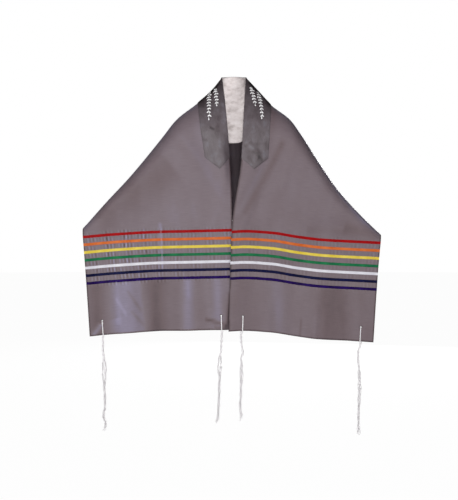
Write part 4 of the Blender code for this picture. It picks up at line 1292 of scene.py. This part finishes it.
lining_lines = [line_between((-side_line, LINING_SEAM), (-side_line, low_line)),
                line_between((-side_line, low_line), (side_line, low_line)),
                line_between((side_line, LINING_SEAM), (side_line, low_line))]
lining_rise = -(CLOTH_WALL / 2 + AIR + LINING_WALL)
lining_stitches = seam("lining_stitches", lining_lines, lining_rise, cotton_thread)
print("lining", len(lining.data.polygons), "faces")

# %% [markdown]
# ## Eyelets
# Each corner's hole is worked in buttonhole stitch, so the tassel's wool doesn't fray the cloth.
# The stitch is a ring whose section swells and thins thirty times round, once for each wrap.

# %% Eyelets
WRAPS = 30
RING_RADIUS = 0.0041
RING_THREAD = 0.0016
RING_RIPPLE = 0.14
RING_OVAL = 0.85
ROWS_A_WRAP, RING_SIDES = 6, 8


def worked_ring(centre, first, second, out):
    """A torus round the hole: its thread's radius has a ripple of one wave for each wrap."""
    around, section = np.meshgrid(
        np.linspace(0, 2 * math.pi, WRAPS * ROWS_A_WRAP, endpoint=False),
        np.linspace(0, 2 * math.pi, RING_SIDES, endpoint=False), indexing="ij")
    thread = RING_THREAD * (1 - RING_RIPPLE + RING_RIPPLE * np.cos(WRAPS * around))
    reach = (RING_RADIUS + thread * np.cos(section))[..., None]
    ring = (centre + reach * (np.cos(around)[..., None] * first + np.sin(around)[..., None] * second)
            + (thread * RING_OVAL * np.sin(section))[..., None] * out)
    rows, columns = around.shape
    row, column = np.meshgrid(np.arange(rows), np.arange(columns), indexing="ij")
    after, beside = (row + 1) % rows, (column + 1) % columns
    faces = np.stack([row * columns + column, after * columns + column,
                      after * columns + beside, row * columns + beside], axis=-1)
    return ring.reshape(-1, 3), [faces.reshape(-1, 4)]


eyelet_frames = {}
ring_parts = []
for name, (eyelet_along, eyelet_across) in EYELETS.items():
    around_along = eyelet_along + EYELET_RADIUS * np.array([0, 1, -1, 0, 0])
    around_across = eyelet_across + EYELET_RADIUS * np.array([0, 0, 0, 1, -1])
    places, up = cloth_at(around_along, around_across)
    centre, out = places.mean(axis=0), up.mean(axis=0)
    out /= np.linalg.norm(out)
    toward_hem = (places[1] - places[2]) * np.sign(eyelet_along)
    toward_hem -= out * (toward_hem @ out)
    toward_hem /= np.linalg.norm(toward_hem)
    sideways = np.cross(out, toward_hem)
    eyelet_frames[name] = (centre, toward_hem, out)
    ring_parts.append(worked_ring(centre, toward_hem, sideways, out))
points, faces = gathered(ring_parts)
eyelets = new_piece("eyelet_stitches", points, faces, cloth_thread)
print("eyelets", len(eyelet_frames))

# %% [markdown]
# ## The corner tassels
# Four long strings are drawn through each eyelet and doubled, which makes eight ends. The
# bundle is knotted below the hem, one string is wound round the rest in five runs with a double
# knot before and after each, and the ends then hang loose. Each string is two-ply, so its section
# is an oval that turns as it goes. Wool is kinky: every end has its own slow waves, and no two
# are as long.

# %% Tables of the tassels
YARN_RADIUS = 0.00122
YARN_OVAL = 0.68
YARN_TWIST = 0.0052
SHAFT_LENGTH = 0.088
SHAFT_RADIUS = 0.0023
WINDING_RADIUS = 0.00080
BUNDLE_RADIUS = 0.0010
BUNDLE_OVAL, BUNDLE_TURNS = 0.7, 1.5
STRINGS, ENDS = 4, 8
# A string is drawn tight through the eyelet and so is thinner there
TIGHT = 0.72
FIRST_KNOT = 0.006
KNOT_SIZE = 1.15
KNOT_HALF = 0.0011
KNOT_ROOM = 0.0030
KNOT_ROWS = 60
KNOT_LOBE, KNOT_SWING = 0.22, 0.0021
# The shaft's core and the loose ends overlap by this much above and below the last knot
OVERLAP = 0.004
CORE_START, CORE_SHARE, CORE_ROWS = 0.001, 0.85, 40
TURNS_BETWEEN_KNOTS = (7, 8, 11, 13, 12)
# The kinks of a loose end: wave lengths, height as a share of one, and how much a length varies
KINKS = (0.052, 0.027, 0.0135)
KINK_HEIGHT = 0.020
KINK_VARIES = 0.15
END_SHORTER = 0.026
END_ROWS = 150
CURL, CURL_START = 0.005, 0.93
FROM_MIDDLE, LOOSENS = 0.0018, 0.0010
PARTS_EARLY, OPENS_OVER, CLOSES_OVER = 0.012, 0.02, 0.03
# All in millimetres. below: under the hem; aside: the middle line's drift to the viewer's right;
# parting: from where, to where and how far apart the loose ends stand
TASSELS = {
    "tzitzit_left_outer": {
        "below": (0, 28, 56, 88, 130, 171, 210, 247, 294, 318, 352),
        "aside": (-1.5, -0.8, -1.0, 2.6, 3.4, 3.2, 4.6, 6.4, 1.5, 7.5, 6.0),
        "parting": (95, 172, 9.0)},
    "tzitzit_left_inner": {
        "below": (0, 40, 76, 94, 130, 166, 241, 302, 344),
        "aside": (1.0, -0.5, -2.5, -6.5, -7.5, -8.0, -10.0, -13.0, -19.0),
        "parting": (98, 165, 8.5)},
    "tzitzit_right_inner": {
        "below": (0, 20, 47, 79, 101, 115, 180, 273, 313, 328),
        "aside": (-4.0, -5.0, -3.5, 1.5, -6.0, -4.0, -4.0, -8.0, -5.0, -9.0),
        "parting": (120, 200, 4.5)},
    "tzitzit_right_outer": {
        "below": (0, 18, 37, 83, 95, 180, 260, 328, 342),
        "aside": (4.0, 0.0, -6.0, -5.5, -3.0, -1.5, -5.0, -4.5, -6.0),
        "parting": (110, 230, 4.0)},
}

# %% The corner tassels


def flowing(points, count):
    """A smooth line through points: Catmull-Rom pieces, evenly divided."""
    points = np.asarray(points, float)
    ends = np.vstack([2 * points[0] - points[1], points, 2 * points[-1] - points[-2]])
    spots = np.linspace(0, len(points) - 1, count)
    place = np.minimum(spots.astype(int), len(points) - 2)
    u = (spots - place)[:, None]
    a, b, c, d = (ends[place + shift] for shift in range(4))
    return 0.5 * (2 * b + (c - a) * u + (2 * a - 5 * b + 4 * c - d) * u ** 2
                  + (3 * b - a - 3 * c + d) * u ** 3)


def bundle_line(centre, toward_hem, out):
    """From the shaft up the face, through the eyelet and down behind, back to the shaft."""
    clear = hem_rise + BUNDLE_RADIUS + YARN_RADIUS * 0.8
    rest = RING_RADIUS - RING_THREAD - BUNDLE_RADIUS - YARN_RADIUS * TIGHT
    # How far each place lies below the hole's middle, and how far out from the cloth
    face = [(EYELET_INSET + 0.006, 0.0004), (EYELET_INSET + 0.0015, clear * 0.9),
            (EYELET_INSET * 0.72, clear * 1.25), (EYELET_INSET * 0.4, clear * 1.1),
            (rest + 0.0050, clear * 1.15), (rest + 0.0016, clear * 0.9), (rest, 0.0)]
    run = face + [(below, -away) for below, away in face[-2::-1]]
    return flowing([centre + toward_hem * below + out * away for below, away in run], 90)


def middle_line(hem, marks, below):
    """The tassel's middle: straight down from the hem with the drift in its table."""
    aside = flowing(np.stack([marks["below"], marks["aside"]], axis=1), 400) * MILLIMETRE
    drift = np.interp(below, aside[:, 0], aside[:, 1])
    return hem + np.stack([drift, np.zeros_like(below), -below], axis=-1)


def winding(hem, marks, start, end, turns):
    """A helix round the middle line, which is one string wound close between two knots."""
    below = np.linspace(start, end, int(turns * 14))
    angle = 2 * math.pi * turns * np.linspace(0, 1, len(below))
    middle = middle_line(hem, marks, below)
    ring = np.stack([np.cos(angle), np.sin(angle), np.zeros_like(angle)], axis=-1) * SHAFT_RADIUS
    return tubes((middle + ring)[None], WINDING_RADIUS, 6, (0, 0, 1.0))


def knot(hem, marks, below):
    """A double knot: a line that goes three times round while it goes up and down twice."""
    turn = np.linspace(0, 2 * math.pi, KNOT_ROWS)
    reach = SHAFT_RADIUS * KNOT_SIZE * (1 + KNOT_LOBE * np.cos(2 * turn + 0.5))
    height = KNOT_SWING * np.sin(2 * turn)
    ring = np.stack([np.cos(3 * turn) * reach, np.sin(3 * turn) * reach, height], axis=-1)
    path = middle_line(hem, marks, np.array([below])) + ring
    return tubes(path[None], YARN_RADIUS, 6, (0, 0, 1.0))


def kink(below, wave, rng):
    """A sine down an end, its length near wave and its start drawn at random."""
    turns = below / wave * rng.uniform(1 - KINK_VARIES, 1 + KINK_VARIES)
    return KINK_HEIGHT * wave * np.sin(2 * math.pi * turns + rng.uniform(0, 6.28))


def loose_ends(hem, marks, drop, rng):
    """Eight kinky ends: the middle line, a place in the bundle, a parting and slow waves."""
    start, end, spread = (value * MILLIMETRE for value in marks["parting"])
    lines = []
    for number in range(ENDS):
        below = np.linspace(SHAFT_LENGTH - OVERLAP, drop - rng.uniform(0, END_SHORTER), END_ROWS)
        line = middle_line(hem, marks, below)
        part = (below - below[0]) / (below[-1] - below[0])
        side = -1 if number % 2 else 1
        angle = 2 * math.pi * number / ENDS + 0.3
        home = FROM_MIDDLE + LOOSENS * smooth(part * 3)
        opened = smooth((below - start + PARTS_EARLY) / OPENS_OVER)
        closed = smooth((end - below) / CLOSES_OVER + 0.25)
        wander, depth = np.zeros_like(below), np.zeros_like(below)
        for wave in KINKS:
            wander += kink(below, wave, rng)
            depth += kink(below, wave, rng)
        settle = smooth(part * 6)
        aside = side * spread / 2 * (opened * closed)
        line[:, 0] += math.cos(angle) * home + aside + wander * settle
        line[:, 1] += math.sin(angle) * home + depth * settle
        line[:, 0] += smooth((part - CURL_START) / (1 - CURL_START)) * rng.uniform(-CURL, CURL)
        lines.append(line)
    turns = drop / YARN_TWIST / 2
    return tubes(np.array(lines), YARN_RADIUS, 6, (0, 1.0, 0), oval=YARN_OVAL, turns=turns)


rng = np.random.default_rng(613)
for name, marks in TASSELS.items():
    centre, toward_hem, out = eyelet_frames[name.replace("tzitzit_", "")]
    hem_point = centre + toward_hem * EYELET_INSET
    drop = marks["below"][-1] * MILLIMETRE
    line = bundle_line(centre, toward_hem, out)
    angle = np.linspace(0, 2 * math.pi * BUNDLE_TURNS, len(line))
    beside = np.cross(out, toward_hem)
    strings = []
    for number in range(STRINGS):
        turn = angle + 2 * math.pi * number / STRINGS
        shift = np.cos(turn)[:, None] * beside + np.sin(turn)[:, None] * out * BUNDLE_OVAL
        strings.append(line + shift * BUNDLE_RADIUS)
    parts = [tubes(np.array(strings), YARN_RADIUS * TIGHT, 6, beside)]
    core = middle_line(hem_point, marks, np.linspace(CORE_START, SHAFT_LENGTH + OVERLAP, CORE_ROWS))
    parts.append(tubes(core[None], SHAFT_RADIUS * CORE_SHARE, 8, (0, 1.0, 0)))
    knots = np.linspace(FIRST_KNOT, SHAFT_LENGTH, len(TURNS_BETWEEN_KNOTS) + 1)
    for below in knots:
        for lift in (-KNOT_HALF, KNOT_HALF):
            parts.append(knot(hem_point, marks, below + lift))
    for high, low, turns in zip(knots[:-1], knots[1:], TURNS_BETWEEN_KNOTS):
        parts.append(winding(hem_point, marks, high + KNOT_ROOM, low - KNOT_ROOM, turns))
    parts.append(loose_ends(hem_point, marks, drop, rng))
    points, faces = gathered(parts)
    tassel = new_piece(name.replace("tzitzit", "tzitzit_wool"), points, faces, wool)
    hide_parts(name)
    print(tassel.name, sum(len(face.vertices) - 2 for face in tassel.data.polygons), "triangles")

# %% [markdown]
# ## Floor and light
# The floor is a wide pale disc under the tassels, and the room round it is plain white. That
# white is seen but lights nothing, so the cloth keeps its dark folds. A large soft key lamp stands
# in front at the left, a weaker fill at the right, a small one between them, and others light the
# back and the top. The pale lining sits deep in the neck and has to look evenly bright while the
# inside beside it stays dark. So the key lamp passes it by, and a small lamp lights it alone.

# %% Floor
FLOOR_HEIGHT = -1.52
FLOOR_RADIUS = 30
FLOOR_SIDES = 96
spokes = np.linspace(0, 2 * math.pi, FLOOR_SIDES, endpoint=False)
ring = np.stack([np.cos(spokes) * FLOOR_RADIUS, np.sin(spokes) * FLOOR_RADIUS,
                 np.full_like(spokes, FLOOR_HEIGHT)], axis=1)
floor_mesh = bpy.data.meshes.new("floor")
floor_mesh.from_pydata(ring.tolist(), [], [list(range(FLOOR_SIDES))])
floor = bpy.data.objects.new("floor", floor_mesh)
bpy.context.scene.collection.objects.link(floor)
pale_floor, _ = new_finish("pale_floor", Roughness=0.9, Specular_IOR_Level=0.0,
                           Base_Color=linear("2c2c2c"), Emission_Color=linear("ffffff"),
                           Emission_Strength=0.975)
floor_mesh.materials.append(pale_floor)
floor.visible_diffuse = False
floor.visible_glossy = False
floor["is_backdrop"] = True

room = bpy.data.worlds.new("room")
bpy.context.scene.world = room
room.use_nodes = True
white = room.node_tree.nodes["Background"]
white.inputs["Color"].default_value = linear("ffffff")
white.inputs["Strength"].default_value = 1.0
room.cycles_visibility.diffuse = False
room.cycles_visibility.glossy = False
bpy.context.scene.view_settings.view_transform = "Standard"
print("floor at", FLOOR_HEIGHT)

# %% Lamps
TARGET = np.array([0.0, -0.10, -0.62])
# Each lamp's place in metres, the side of its square and its power in watts
LAMPS = {
    "key": ((-1.9, -4.0, -0.35), 1.8, 118),
    "fill": ((2.2, -4.0, -0.5), 2.2, 78),
    "front": ((0.0, -3.7, -0.2), 0.5, 20),
    "back": ((0.9, 4.4, -0.3), 2.0, 230),
    "top": ((0.0, -0.6, 3.0), 2.0, 6),
    "neck": ((0.0, -3.3, -0.5), 0.15, 82),
}
holders = {}
for name, (place, size, power) in LAMPS.items():
    lamp = bpy.data.lights.new(name, "AREA")
    lamp.size, lamp.energy = size, power
    ahead, aside, up = TARGET - np.array(place)
    holder = bpy.data.objects.new(name, lamp)
    holder.location = place
    tilt = math.atan2(math.hypot(ahead, aside), -up)
    holder.rotation_euler = (tilt, 0, math.atan2(aside, ahead) - math.pi / 2)
    bpy.context.scene.collection.objects.link(holder)
    holders[name] = holder

lit = bpy.data.collections.new("lit by the neck lamp")
lit.objects.link(lining)
lit.objects.link(lining_stitches)
holders["neck"].light_linking.receiver_collection = lit
passed_by = bpy.data.collections.new("passed by the key lamp")
passed_by.objects.link(lining)
passed_by.collection_objects[0].light_linking.link_state = "EXCLUDE"
holders["key"].light_linking.receiver_collection = passed_by
print("lamps", list(LAMPS))

# %% [markdown]
# ## Sizes and the end
# The box of the dressed model is printed.

# %% Sizes and the end
low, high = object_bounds()
print("visual box", [round(value, 3) for value in (*low, *high)])
